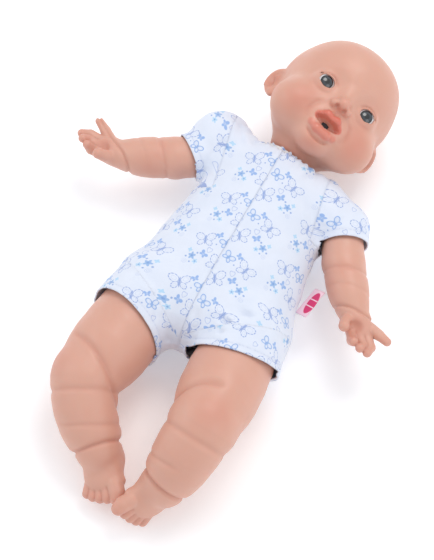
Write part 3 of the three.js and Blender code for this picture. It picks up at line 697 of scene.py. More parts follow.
def build_eyes(look):
    for name, side in SIDES.items():
        centre = np.array((side * EYE[0], EYE[1], EYE[2]))
        angles = np.linspace(0.0, math.pi * 0.72, 40)
        profile = [(max(0.02, EYE_RADIUS * math.sin(a)), EYE_RADIUS * math.cos(a)) for a in angles]
        profile += [(8.4 * math.sin(a), 8.4 * math.cos(a)) for a in (2.2, 1.7, 1.2)]
        ball = lathe(f"eye_{name}", profile[::-1], HEAD, centre, 56)
        local = HEAD.into(np.array([v.co for v in ball.data.vertices]) / MM) - centre
        ring = np.hypot(local[:, 0], local[:, 1])
        ring = np.where(local[:, 2] > 0, ring, EYE_RADIUS)
        tint(ball, "ring", ring)
        tint(ball, "turn", np.abs(np.arctan2(local[:, 1], local[:, 0])))
        ball.data.materials.append(look)
        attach(ball, "head")
        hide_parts(f"eyeball_{name}", f"iris_{name}", f"cornea_{name}")


# ---- arms: x outwards, -y towards the hand, z towards the palm ----
BEND = {"left": math.radians(14), "right": math.radians(35)}
WRIST_AT = (10.6, -83.0)


def in_hand(name, along, across, palm):
    bend = BEND[name]
    x = WRIST_AT[0] + along * math.sin(bend) + across * math.cos(bend)
    y = WRIST_AT[1] - along * math.cos(bend) + across * math.sin(bend)
    return (x, y, palm)


ARM_LINE = [
    (0, -7, 0, 14.4), (0, -12, 0, 15.4), (0, -24, 0, 16.2), (0.6, -36, 0, 16.9), (1.6, -43, 0, 16.2),
    (2.4, -47.5, 0, 15.6), (3.4, -54, 0, 16.2), (4.8, -62, 0, 15.6), (6.4, -69, 0, 14.2),
    (8.4, -76.5, 0, 12.0), (10.0, -82, 0, 10.8),
]
ARM_FOLDS = [
    ((2.2, -46.5, 0), (0.1, 1, 0.0), 1.9, 0.8, None),
    ((4.8, -63, 0), (0.2, 1, -0.1), 1.8, 0.4, (0.4, 0, 1)),
    ((9.4, -80.5, 0), (0.4, 1, 0.0), 1.2, 1.5, None),
]
DIGITS = {
    "thumb": [(0, -5, 3, 5.8), (5, -9.5, 8, 5.2), (9.5, -12.5, 12.5, 4.5)],
    "index": [(13, -6.5, 1, 4.6), (19, -8, 4, 4.2), (22.5, -8, 9, 3.6)],
    "middle": [(16, -1.5, 1, 4.7), (25.5, -1.0, 3, 4.2), (28.5, -4.5, 8.5, 3.6)],
    "ring": [(16, 4.2, 0, 4.6), (27, 4.6, 1.5, 4.1), (32.5, 0.5, 5.5, 3.5)],
    "little": [(9, 7.5, 0, 5.0), (18, 13.5, 1.5, 4.2), (26, 18, 3.5, 3.4)],
}


def digit_fields(p, name):
    found = {}
    for digit, stations in DIGITS.items():
        points = [(*in_hand(name, *s[:3]), s[3]) for s in stations]
        found[digit] = chain(p, points, 1.0)
    return found


def arm_field(p, name):
    d = chain(p, ARM_LINE, 2.5)
    q = p.copy()
    q[:, 2] = q[:, 2] * 1.04
    palm = ell(q, in_hand(name, 9, 0.5, 0), (11.5, 12.5, 8.2))
    heel = ell(q, in_hand(name, 2.5, -1, 1.5), (10.2, 9.0, 8.0))
    d = join(d, palm, 4.5)
    d = join(d, heel, 3.5)
    for f in digit_fields(p, name).values():
        d = join(d, f, 0.9)
    d = carve(d, ell(p, in_hand(name, 10.5, -3.5, 9.5), (5.5, 4.2, 4.4)), 3.5)
    for centre, normal, width, depth, facing in ARM_FOLDS:
        d = d + depth * fold(p, centre, normal, width, facing)
    return d


def limb_tints(piece, p, folds, spots, digits):
    """Painted shade, warmer and darker, in the creases and between the digits, and a blush at the given spots."""
    crease_shade = np.zeros(len(p))
    # painted shade along the limb's folds
    for centre, normal, width, depth, facing, *reach in folds:
        line = fold(p, centre, normal, width * 0.8, facing, *reach)
        crease_shade = np.maximum(crease_shade, line * min(1, depth * 0.2))
    # painted shade where two digits meet
    nearest = np.sort(np.stack(list(digits.values()), 1), axis=1)
    between = bump(nearest[:, 0] - nearest[:, 1], 0.9) * fade(-nearest[:, 1], -2.2, -0.4)
    crease_shade = np.maximum(crease_shade, 0.55 * between)
    blush = np.zeros(len(p))
    for centre, radius, amount in spots:
        blush = blush + amount * blob(p, centre, radius)
    tint(piece, "crease_shade", np.clip(crease_shade, 0, 1))
    tint(piece, "blush", np.clip(blush, 0, 1))


def build_arm(name):
    side = SIDES[name]
    place = arm_place(name)
    flip = np.array((side, 1, 1))
    points, quads = polygonise(lambda p: arm_field(p, name), (-22, -130, -20), (52, 10, 26), 1.0)
    spots = [((2, -47, 10), 9, 0.3), (in_hand(name, 10, -2, 8), 7, 0.45), ((-10, -58, 6), 12, 0.2)]
    spots += [(in_hand(name, *s[-1][:3]), 5, 0.35) for s in DIGITS.values()]
    world = points * flip
    piece = make(f"arm_{name}_skin", world, facing_out(world, quads), place)
    limb_tints(piece, points, ARM_FOLDS, spots, digit_fields(points, name))
    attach(piece, f"arm_{name}")
    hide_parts(f"arm_{name}_shell")
    return piece


# ---- legs: x inwards, -y towards the foot, z towards the knee ----
class Foot:
    """A foot turned inwards and rolled about its own length, on the end of a shin."""

    at = np.array((0, -122.0, -47.0))

    def __init__(self, turn, roll):
        across, ahead, top = np.array([(1.0, 0, 0), (0, -0.72, -0.69), (0, -0.69, 0.72)])
        c, s = math.cos(math.radians(turn)), math.sin(math.radians(turn))
        across, self.ahead = c * across - s * ahead, c * ahead + s * across
        c, s = math.cos(math.radians(roll)), math.sin(math.radians(roll))
        self.side, self.top = c * across + s * top, c * top - s * across

    def out(self, x, along, up):
        return tuple(self.at + x * self.side + along * self.ahead + up * self.top)

    def into(self, p):
        q = p - self.at.astype(p.dtype)
        return np.stack([q @ v.astype(p.dtype) for v in (self.side, self.ahead, self.top)], 1)


FEET = {"left": Foot(26, 30), "right": Foot(4, -42)}


LEG_LINE = [
    (0, -5, 0, 27.0), (0, -14, 0, 29.4), (0, -34, 0, 30.6), (0, -52, 0.6, 30.4), (0, -64, 1.0, 28.2),
    (0, -72, 1.2, 25.8), (0, -84, -0.4, 26.4), (0, -93, -5.5, 24.2), (0, -101, -14, 23.6),
    (0, -108.5, -24.5, 22.4),
    (0, -114.5, -34, 19.8), (0, -119, -41.5, 17.2),
]
# centre, normal, width, depth, facing, reach
LEG_FOLDS = [
    ((0, -74.5, 0), (0, 1, -0.42), 2.6, 1.7, (0.85, 0.1, -0.35), -6),
    ((0, -93.5, -2), (0.0, 1, 0.75), 2.6, 1.0, None, 0),
    ((0, -107.0, -24), (0.1, 0.72, 0.62), 2.0, 0.9, (0.8, 0, -0.3), -4),
    ((0, -117.0, -39), (-0.12, 0.62, 0.78), 1.8, 2.2, None, 0),
]
TOES = [
    [(8.6, 21, 1, 6.6), (9.8, 28, 1.8, 6.2), (9.6, 32.5, 3.0, 5.4)],
    [(1.2, 23, 1, 4.6), (1.6, 31, 2.8, 4.3)],
    [(-4.4, 22.5, 0.5, 4.3), (-4.8, 30, 2.6, 4.1)],
    [(-9.6, 21, 0, 4.2), (-10.8, 28, 2.2, 3.9)],
    [(-14, 18, -0.5, 4.0), (-16, 25, 1.6, 3.7)],
]


def toe_fields(p, foot):
    return {i: chain(p, [(*foot.out(*s[:3]), s[3]) for s in toe], 1.0) for i, toe in enumerate(TOES)}


def leg_field(p, foot):
    d = chain(p, LEG_LINE, 5.0)
    knee = ell(p, (1, -82, 13), (17, 12, 13.5))
    d = join(d, knee, 8)
    own = foot.into(p)
    sole = ell(own, (-1.5, 11, -2.0), (16.2, 18.0, 11.0))
    heel = ell(own, (0, 1, -8), (14.2, 14.5, 13))
    ball = ell(own, (0, 19, -2), (16.0, 7.5, 7.5))
    d = join(d, heel, 5)
    d = join(d, sole, 5)
    d = join(d, ball, 3)
    d = carve(d, ell(own, (6, 12, -15.5), (7, 10, 4.5)), 4)
    for f in toe_fields(p, foot).values():
        d = join(d, f, 0.8)
    for centre, normal, width, depth, facing, reach in LEG_FOLDS:
        d = d + depth * fold(p, centre, normal, width, facing, reach)
        d = d + 0.35 * depth * fold(p, centre, normal, width * 3, facing, reach)
    return d


def build_leg(name):
    side = SIDES[name]
    place = leg_place(name)
    flip = np.array((-side, 1, 1))
    foot = FEET[name]
    points, quads = polygonise(lambda p: leg_field(p, foot), (-36, -172, -96), (36, 6, 38), 1.3)
    spots = [((0, -84, 26), 13, 0.4), (foot.out(9.5, 33, 4), 7, 0.4), (foot.out(0, 0, -18), 12, 0.35)]
    spots += [(foot.out(*toe[-1][:3]), 5, 0.35) for toe in TOES[1:]]
    world = points * flip
    piece = make(f"leg_{name}_skin", world, facing_out(world, quads), place)
    limb_tints(piece, points, LEG_FOLDS, spots, toe_fields(points, foot))
    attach(piece, f"leg_{name}")
    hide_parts(f"leg_{name}_shell")
    return piece


# ---- cloth body, one field for torso, sleeves and leg covers ----
# Stations from crotch to neck: y, half width, half depth, height of the middle.
TORSO = np.array([
    (-86, 8, 8, 42), (-81, 22, 17, 42), (-73, 40, 29, 41), (-60, 57, 37, 40), (-40, 66, 40, 39),
    (-15, 64.5, 41.5, 39),
    (15, 60, 41, 38.5), (45, 55, 40, 38.5), (66, 52, 39, 39.5), (80, 47, 36.5, 41.5), (90, 39, 32, 44),
    (98, 29, 26.5, 46), (104, 24, 24, 47),
], float)
FINE_Y = np.linspace(TORSO[0, 0], TORSO[-1, 0], 400)


def smooth_table():
    """The stations, made smooth by averaging over a sliding stretch of the body."""
    rows = []
    for column in (1, 2, 3):
        line = np.interp(FINE_Y, TORSO[:, 0], TORSO[:, column])
        kernel = np.hanning(31)
        padded = np.pad(line, 15, mode="reflect", reflect_type="odd")
        rows.append(np.convolve(padded, kernel / kernel.sum(), "valid"))
    return rows


BODY_W, BODY_H, BODY_M = smooth_table()
NECK = joint_place("head_turn")
NECK_AXIS = np.array(JOINTS["head_turn"]["axis"], float)
HEMS = {
    "sleeve_left": (np.array((73.1, 52.7, 42.0)), unit((0.47, -0.883, 0.0))),
    "sleeve_right": (np.array((-75.0, 67.1, 42.0)), unit((-0.636, -0.772, 0.0))),
    "cover_left": (np.array((41.5, -79.2, 55.0)), unit((0.188, -0.974, -0.128))),
    "cover_right": (np.array((-44.5, -87.0, 58.0)), unit((-0.294, -0.932, 0.211))),
}
SPLITS = {
    "sleeve_left": (np.array((43.0, 74.0, 42.0)), unit((0.985, 0.175, 0))),
    "sleeve_right": (np.array((-47.5, 84.0, 42.0)), unit((-0.98, -0.2, 0))),
    "cover_left": (np.array((6.0, -78.0, 42.0)), unit((0.467, -0.884, 0))),
    "cover_right": (np.array((-6.0, -82.0, 42.0)), unit((-0.486, -0.874, 0))),
}
THIGHS = {name: leg_place(name) for name in SIDES}
UPPER_ARMS = {name: arm_place(name) for name in SIDES}
SLEEVES = {
    "left": [(36, 75, 42, 25), (64.5, 66.5, 42, 20.2)],
    "right": [(-36, 84, 42, 26), (-58, 90, 42, 23.6)],
}
COVERS = {
    "left": [(39, -50, 41, 35.5)],
    "right": [(-39, -50, 41, 35.5)],
}
for name in SIDES:
    SLEEVES[name] += [(*UPPER_ARMS[name].out((0, y, 0)), r) for y, r in ((-18, 18.2), (-34, 17.9))]
    COVERS[name] += [(*THIGHS[name].out((0, y, 0)), r) for y, r in ((-16, 33.2), (-60, 32.0))]
SEAM_Z = 38.0
FRONT_SEAM_X = -1.5
SEAM_WIDTH = 0.9
HEM_DEPTH = 5.2
HEM_RANGE = {"sleeve": 26, "cover": 46}
FLOOR_GAP = 0.05


def from_plane(p, plane):
    return (p - plane[0].astype(p.dtype)) @ plane[1].astype(p.dtype)


def waves(p, scale, seed):
    """A soft, unrepeating unevenness of about one millimetre either way."""
    rng = np.random.default_rng(seed)
    total = np.zeros(len(p), p.dtype)
    for _ in range(7):
        direction = rng.normal(size=3)
        direction /= np.linalg.norm(direction) * scale * rng.uniform(0.7, 1.5) / (2 * math.pi)
        total += np.sin(p @ direction.astype(p.dtype) + rng.uniform(0, 6.28)) / 4
    return total


def torso_field(p):
    y = p[:, 1]
    w = np.interp(y, FINE_Y, BODY_W).astype(p.dtype)
    h = np.interp(y, FINE_Y, BODY_H).astype(p.dtype)
    m = np.interp(y, FINE_Y, BODY_M).astype(p.dtype)
    x, z = p[:, 0], p[:, 2] - m
    k0 = np.sqrt((x / w) ** 2 + (z / h) ** 2)
    k1 = np.sqrt((x / w**2) ** 2 + (z / h**2) ** 2)
    d = k0 * (k0 - 1) / np.maximum(k1, 1e-6)
    return -join(-d, -(TORSO[0, 0] - y), 2.0)


def wrinkle(p, a, b, width, depth, sag=(0, 0, 0)):
    """A fold line between two points that fades at its ends, as a valley with a ridge beside it."""
    a, b = np.array(a, float), np.array(b, float)
    ab = b - a
    t = np.clip((p - a) @ ab / (ab @ ab), 0, 1)
    line = a + t[:, None] * ab + (4 * t * (1 - t))[:, None] * np.array(sag, float)
    away = np.linalg.norm(p - line, axis=1)
    side = (p - line) @ unit(np.cross(ab, (0, 0, 1)))
    ends = np.clip(4 * t * (1 - t) * 1.6, 0, 1)
    ridge = bump(away - 1.9 * width, width) * (0.55 * (side > 0) + 0.35 * (side < 0))
    return depth * ends * (bump(away, width) - ridge)


WRINKLES = [
    ((18, -62, 79), (64, -55, 62), 2.6, 2.6, (0, -3, 2)),
    ((24, -72, 78), (70, -64, 56), 2.4, 2.3, (0, -3, 2)),
    ((30, -50, 80), (66, -42, 60), 2.8, 1.6, (0, -2, 1)),
    ((60, -78, 68), (76, -66, 46), 2.2, 2.0, (2, -2, 2)),
    ((52, 50, 60), (40, 64, 74), 2.4, 1.8, (1, 1, 2)),
    ((56, 46, 54), (36, 52, 72), 2.2, 0.9, (0, -1, 2)),
    ((60, 52, 62), (68, 70, 60), 2.2, 0.8, (-1, 0, 1)),
    ((-55, 58, 56), (-40, 72, 74), 2.6, 0.9, (-1, 2, 2)),
    ((-58, 62, 60), (-50, 86, 66), 2.8, 0.8, (2, 0, 1)),
    ((-30, -70, 76), (-66, -58, 60), 2.8, 1.3, (0, -2, 2)),
    ((-20, -86, 70), (-34, -64, 78), 2.6, 0.8, (0, 0, 1)),
    ((8, -86, 62), (2, -60, 78), 2.4, 0.8, (2, 0, 0)),
    ((-36, 100, 66), (-24, 84, 72), 2.6, 0.8, (0, 0, 1)),
    ((-48, 104, 60), (-34, 82, 72), 3.0, 0.7, (0, 0, 2)),
    ((30, 92, 62), (22, 76, 74), 2.6, 0.7, (0, 0, 1)),
]


def body_seams(p):
    """How much a point lies in a sewn seam."""
    front = bump(p[:, 0] - FRONT_SEAM_X, SEAM_WIDTH) * fade(p[:, 2], 40, 46)
    front = front * fade(-np.abs(p[:, 1] - 5), -98, -90)
    side = bump(p[:, 2] - SEAM_Z, SEAM_WIDTH) * fade(np.abs(p[:, 0]), 36, 40) * fade(p[:, 1], -84, -80)
    seam = np.maximum(front, side)
    for name in SIDES:
        armhole = bump(from_plane(p, SPLITS["sleeve_" + name]), SEAM_WIDTH)
        seam = np.maximum(seam, armhole * fade(p[:, 1], 40, 44))
    return seam


def about_neck(p):
    """Height above the neck's joint and distance from its axis."""
    up = (p - NECK.astype(p.dtype)) @ NECK_AXIS.astype(p.dtype)
    return up, np.linalg.norm(p - NECK.astype(p.dtype) - up[:, None] * NECK_AXIS.astype(p.dtype), axis=1)


def near_hem(p, key):
    """Whether a point is on the limb that a hem goes round."""
    return np.linalg.norm(p - HEMS[key][0].astype(p.dtype), axis=1) < HEM_RANGE[key.split("_")[0]]


def body_field(p):
    d = torso_field(p)
    for name in SIDES:
        d = join(d, carve(chain(p, SLEEVES[name], 6), 2 - from_plane(p, HEMS["sleeve_" + name]), 1), 9)
        d = join(d, carve(chain(p, COVERS[name], 8), 2 - from_plane(p, HEMS["cover_" + name]), 1), 11)
    d = -join(-d, p[:, 2], 9.0)
    d = d - 0.55 * waves(p, 34, 3) - 0.22 * waves(p, 13, 5)
    for line in WRINKLES:
        d = d + wrinkle(p, *line)
    up, round_neck = about_neck(p)
    d = -join(-d, NECK_EDGE + 0.8 * np.maximum(round_neck - 27, 0) - up, 2.0)
    q = HEAD.into(p)
    angle = np.arctan2(q[:, 0], q[:, 2] + 14)
    gather = np.sin(angle * 30 + 2 * np.sin(angle * 3)) * fade(up, -8, 8)
    d = d + 0.45 * gather
    d = d + 0.25 * body_seams(p)
    for key, plane in HEMS.items():
        s = from_plane(p, plane)
        near = near_hem(p, key)
        d = d - 0.45 * fade(s, -HEM_DEPTH - 0.2, -HEM_DEPTH + 0.4) * near + 0.35 * bump(s + HEM_DEPTH, 0.8) * near
    return np.maximum(d, FLOOR_GAP - p[:, 2])


FLAP = {"x": 28.0, "low": 5.0, "high": 71.0, "z": 16.0}
NECK_EDGE = 3.0
NECK_HOLE = 23.3
HEM_REACH = {"sleeve": 22.0, "cover": 37.5}
SLEEVES_ABOVE = 38


def panel_of(c):
    """Which piece of cloth a point of the body's surface belongs to, or None past a hem."""
    side = "left" if c[0] > 0 else "right"
    for kind in ("sleeve", "cover"):
        key = f"{kind}_{side}"
        if from_plane(c, HEMS[key]) > 0 and np.linalg.norm(c - HEMS[key][0]) < HEM_REACH[kind]:
            return None
    for kind in ("sleeve", "cover"):
        key = f"{kind}_{side}"
        if (c[1] > SLEEVES_ABOVE) == (kind == "sleeve") and from_plane(c, SPLITS[key]) > 0:
            return key
    up, round_neck = about_neck(c[None])
    if up[0] > -8 and round_neck[0] < NECK_HOLE:
        return None
    if c[2] > SEAM_Z:
        return "front_left" if c[0] > FRONT_SEAM_X else "front_right"
    inside = abs(c[0]) < FLAP["x"] and FLAP["low"] < c[1] < FLAP["high"] and c[2] < FLAP["z"]
    return "flap" if inside else "back"


def partition(source):
    """Cuts the body's surface along its seams, hems and edges, and returns its panels."""
    bm = bmesh.new()
    bm.from_mesh(source.data)

    def slit(point, normal, where):
        faces = [f for f in bm.faces if where(f.calc_center_median() / MM)]
        geom = set(faces)
        for f in faces:
            geom.update(f.edges)
            geom.update(f.verts)
        bmesh.ops.bisect_plane(
            bm, geom=list(geom), plane_co=Vector(np.array(point) * MM), plane_no=Vector(normal), dist=1e-6
        )

    for key in SPLITS:
        kind, name = key.split("_")
        side, high = SIDES[name], kind == "sleeve"
        slit(*SPLITS[key], lambda c, s=side, h=high: c.x * s > -8 and (c.y > 34) == h)
        reach = HEM_REACH[kind] + 3
        slit(*HEMS[key], lambda c, k=key, r=reach: np.linalg.norm(np.array(c) - HEMS[k][0]) < r)
    slit((0, 0, SEAM_Z), (0, 0, 1), lambda c: abs(c.z - SEAM_Z) < 6)
    slit((FRONT_SEAM_X, 0, 0), (1, 0, 0), lambda c: abs(c.x - FRONT_SEAM_X) < 6 and c.z > 30)
    slit((0, 0, 0), (1, 0, 0), lambda c: abs(c.x) < 4 and c.y < -60)
    for x in (FLAP["x"], -FLAP["x"]):
        slit((x, 0, 0), (1, 0, 0), lambda c: c.z < FLAP["z"])
    for y in (FLAP["low"], FLAP["high"]):
        slit((0, y, 0), (0, 1, 0), lambda c: c.z < FLAP["z"])
    owner = [panel_of(np.array(f.calc_center_median()) / MM) for f in bm.faces]
    bm.to_mesh(source.data)
    bm.free()
    made = {}
    for key in ("front_left", "front_right", "back", "flap", *SPLITS):
        part = bmesh.new()
        part.from_mesh(source.data)
        part.faces.ensure_lookup_table()
        others = [f for f, own in zip(part.faces, owner) if own != key]
        bmesh.ops.delete(part, geom=others, context="FACES")
        mesh = bpy.data.meshes.new(key)
        part.to_mesh(mesh)
        part.free()
        mesh.shade_smooth()
        piece = bpy.data.objects.new(key + "_cloth", mesh)
        bpy.context.scene.collection.objects.link(piece)
        made[key] = piece
    bpy.data.objects.remove(source)
    return made


def thicken(piece, thickness):
    """Gives a panel the cloth's thickness, inwards, with a rim at its edges."""
    solid = piece.modifiers.new("cloth", "SOLIDIFY")
    solid.thickness = thickness * MM
    solid.offset = -1
    solid.use_rim = True
    bpy.context.view_layer.update()
    graph = bpy.context.evaluated_depsgraph_get()
    piece.data = bpy.data.meshes.new_from_object(piece.evaluated_get(graph))
    piece.modifiers.clear()
    piece.data.shade_smooth()


# lengths round an ellipse of 60 by 40 mm, from the middle of the front to the middle of the back
ARC_ANGLE = np.linspace(0, math.pi, 200)
ARC_STEPS = np.hypot(60 * np.cos(ARC_ANGLE[:-1]), 40 * np.sin(ARC_ANGLE[:-1])) * np.diff(ARC_ANGLE)
ARC_LENGTH = np.concatenate([[0], np.cumsum(ARC_STEPS)])


def torso_uv(p):
    """Coordinates round the body and along it, and the length of one turn."""
    w = np.interp(p[:, 1], FINE_Y, BODY_W)
    h = np.interp(p[:, 1], FINE_Y, BODY_H)
    m = np.interp(p[:, 1], FINE_Y, BODY_M)
    w, h = np.maximum(w, 34), np.maximum(h, 24)
    angle = np.arctan2(p[:, 0] / w, (p[:, 2] - m) / h)
    arc = np.interp(np.abs(angle), ARC_ANGLE, ARC_LENGTH) * np.sign(angle)
    return np.stack([arc * w / 60, p[:, 1]], 1), ARC_LENGTH[-1] * 2


def tube_uv(p, origin, down, front, radius):
    """Coordinates round a tube and along it, and the length of one turn."""
    q = p - origin
    s = q @ down
    across = unit(np.cross(down, front))
    ahead = np.cross(across, down)
    angle = np.arctan2(q @ across, q @ ahead)
    return np.stack([angle * radius, -s], 1), 2 * math.pi * radius


def unwrap(piece, mapping, shift=(0, 0)):
    """Lengthwise coordinates in metres, with no face torn across the wrap."""
    mesh = piece.data
    p = np.array([v.co for v in mesh.vertices], float) / MM
    uv, period = mapping(p)
    loops = np.zeros(len(mesh.loops), int)
    mesh.loops.foreach_get("vertex_index", loops)
    corner = uv[loops]
    starts = np.zeros(len(mesh.polygons), int)
    sizes = np.zeros(len(mesh.polygons), int)
    mesh.polygons.foreach_get("loop_start", starts)
    mesh.polygons.foreach_get("loop_total", sizes)
    first = np.repeat(corner[starts, 0], sizes)
    order = np.concatenate([np.arange(a, a + n) for a, n in zip(starts, sizes)])
    u = corner[order, 0]
    u = u - period * np.round((u - first) / period)
    corner[order, 0] = u
    layer = mesh.uv_layers.new(name="cloth")
    layer.data.foreach_set("uv", ((corner + np.array(shift)) * MM).astype(np.float32).ravel())


def cloth_tints(piece):
    p = np.array([v.co for v in piece.data.vertices], float) / MM
    # painted shade in the wrinkles' valleys, and where the cloth rises round the collar
    crease_shade = sum(np.clip(wrinkle(p, *line), 0, None) for line in WRINKLES) * 0.35
    up = (p - NECK) @ NECK_AXIS
    crease_shade = np.clip(crease_shade, 0, 0.6) + 0.25 * fade(up, 4, 10)
    # painted shade in the grooves of the seams and of each hem
    seam = body_seams(p)
    for key, plane in HEMS.items():
        seam = np.maximum(seam, 0.8 * bump(from_plane(p, plane) + HEM_DEPTH, 0.8) * near_hem(p, key))
    tint(piece, "crease_shade", crease_shade)
    tint(piece, "seam", seam)


STITCH = {"length": 2.0, "gap": 1.0, "radius": 0.22}
STITCH_SIDES = 6


def stitch_ring(name, plane, furthest):
    """Short threads round a hem, lying on the cloth."""
    origin = plane[0] - plane[1] * HEM_DEPTH
    u = unit(np.cross(plane[1], (0, 0, 1)))
    v = np.cross(plane[1], u)
    angles = np.linspace(0, 2 * math.pi, 720, endpoint=False)
    rays = np.cos(angles)[:, None] * u + np.sin(angles)[:, None] * v
    low, high = np.full(720, 8.0), np.full(720, furthest)
    for _ in range(24):
        mid = (low + high) / 2
        inside = body_field(origin + rays * mid[:, None]) < 0
        low, high = np.where(inside, mid, low), np.where(inside, high, mid)
    points = origin + rays * (low + 0.12)[:, None]
    step = np.linalg.norm(np.roll(points, -1, 0) - points, axis=1)
    along = np.concatenate([[0], np.cumsum(step)])
    ring = np.vstack([points, points[:1]])
    spans = int(along[-1] / (STITCH["length"] + STITCH["gap"]))
    verts, faces = [], []
    for i in range(spans):
        start = i * along[-1] / spans
        marks = np.linspace(start, start + STITCH["length"], 4)
        ends = [np.array([np.interp(s, along, ring[:, k]) for k in range(3)]) for s in marks]
        if body_field(np.array(ends)).min() < -0.6:
            continue
        ahead = unit(ends[-1] - ends[0])
        out = unit(ends[1] - origin)
        across = unit(np.cross(ahead, out))
        base = len(verts)
        for j, e in enumerate(ends):
            r = STITCH["radius"] * (0.35, 1, 1, 0.35)[j]
            for k in range(STITCH_SIDES):
                t = k * 2 * math.pi / STITCH_SIDES
                verts.append(e + out * r * math.cos(t) + across * r * math.sin(t))
        for j in range(3):
            near, far = base + j * STITCH_SIDES, base + (j + 1) * STITCH_SIDES
            for k in range(STITCH_SIDES):
                n = (k + 1) % STITCH_SIDES
                faces.append([near + k, near + n, far + n, far + k])
        faces.append([base + k for k in range(STITCH_SIDES)][::-1])
        faces.append([base + 3 * STITCH_SIDES + k for k in range(STITCH_SIDES)])
    return make(name, np.array(verts), faces)


def build_collar():
    """A gathered band on the neck joint with a ruffled, overlocked edge."""
    place = Place(NECK, NECK_AXIS, HEAD.axes[:, 2])
    profile = [(19.9, -12.0), (23.6, -8.0), (24.0, -1.0), (23.9, 1.5), (23.4, 3.6), (22.8, 4.8), (23.2, 6.2)]
    profile += [(24.8, 7.8), (25.2, 8.4)]
    profile += [(24.2, 8.6), (22.6, 7.2), (21.2, 5.8), (20.2, 3.5), (19.9, 0), (19.8, -11.8)]
    sides = 300
    turn = np.linspace(0, 2 * math.pi, sides, endpoint=False)
    points = []
    for r, h in profile:
        gather = np.sin(turn * 30 + 2 * np.sin(turn * 3))
        frill = np.sin(turn * 22 + 1.5 * np.sin(turn * 5))
        low = np.clip((h + 2) / 6, 0, 1) * (r > 22)
        top = np.clip((h - 5) / 3.4, 0, 1)
        radius = r + 0.45 * gather * low * (1 - top) + 1.1 * frill * top
        height = h + 0.7 * np.sin(turn * 22 + 1.2 + 1.5 * np.sin(turn * 5)) * top
        points.append(np.stack([radius * np.sin(turn), height, radius * np.cos(turn)], 1))
    points = np.concatenate(points)
    faces = []
    rows = len(profile)
    for i in range(rows):
        for j in range(sides):
            k = (j + 1) % sides
            a, b = i * sides, ((i + 1) % rows) * sides
            faces.append([a + j, a + k, b + k, b + j])
    return make("collar_band", points, facing_out(points, np.array(faces)), place)


LABEL_SIZE = (10.5, 26.0)


def build_label():
    """A folded satin label sewn into the side seam, with a plain mark on it."""
    low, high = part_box("side_label")
    centre = np.array((low + high) / 2) / MM
    swing, rise = math.radians(-10), math.radians(18)
    across = unit((math.cos(swing), math.sin(swing), math.tan(rise)))
    width, length = LABEL_SIZE
    along = unit(np.cross((0, 0, 1), across))
    normal = unit(np.cross(across, along))
    base = centre - across * (width / 2 + 1.5) + along * 4
    nu, nv = 14, 22
    points = []
    for layer in (0.0, -0.5):
        for i in range(nu + 1):
            for j in range(nv + 1):
                u, v = i / nu, j / nv - 0.5
                lift = 1.6 * math.sin(u * 2.2) * (0.6 + 0.8 * v) + 0.5 * math.sin(v * 7) * u + layer
                points.append(base + across * (u * width) + along * (v * length) + normal * lift)
    points = np.array(points)
    stride = nv + 1
    second = (nu + 1) * stride
    faces = []
    for i in range(nu):
        for j in range(nv):
            a = i * stride + j
            faces.append([a, a + stride, a + stride + 1, a + 1])
            faces.append([second + a + 1, second + a + stride + 1, second + a + stride, second + a])
    edge = [i * stride for i in range(nu + 1)] + [nu * stride + j for j in range(1, stride)]
    edge += [i * stride + nv for i in range(nu - 1, -1, -1)] + [j for j in range(nv - 1, 0, -1)]
    for a, b in zip(edge, edge[1:] + edge[:1]):
        faces.append([a, second + a, second + b, b])
    faces = facing_out(points, np.array(faces))
    piece = make("label_ribbon", points, faces)
    u = ((points - base) @ across) / width
    v = ((points - base) @ along) / length
    tint(piece, "lu", u)
    tint(piece, "lv", v)
    return piece, width, length


def label_material():
    g = Graph("label_satin")
    lu, lv = g.attribute("lu"), g.attribute("lv")
    x = g.times(g.less(lu, 0.66), LABEL_SIZE[0])
    y = g.times(lv, LABEL_SIZE[1])
    both = g.math("SQRT", g.plus(g.times(x, x), g.times(g.times(y, 0.36), g.times(y, 0.36))))
    patch = g.band(both, 3.5, 3.9, 1, 0)
    stripe = g.band(g.math("ABSOLUTE", g.less(g.math("ABSOLUTE", y), 3.0)), 0.35, 0.6, 1, 0)
    colour = g.mix(patch, srgb(246, 208, 222), srgb(216, 40, 106))
    colour = g.mix(g.times(g.times(stripe, patch), 0.9), colour, srgb(248, 220, 230))
    weave = g.math("SINE", g.times(lv, 420))
    return g.set(
        Base_Color=colour, Roughness=g.band(g.noise(500), 0.3, 0.7, 0.38, 0.52),
        Normal=g.bump(weave, 0.00005, 0.5), Sheen_Weight=0.3,
    )


def plastic(name, colour, rough, metal=0.0, grain=900.0):
    """A moulded or plain surface with faint clouds, uneven gloss and a fine grain."""
    g = Graph(name)
    darker = (*[c * 0.82 for c in colour[:3]], 1.0)
    return g.set(
        Base_Color=g.mix(g.band(g.noise(120, 3), 0.35, 0.65, 0, 0.35), colour, darker), Metallic=metal,
        Roughness=g.band(g.noise(260, 2), 0.3, 0.7, rough - 0.06, rough + 0.06),
        Normal=g.bump(g.noise(grain, 2), 0.00003, 0.4),
    )


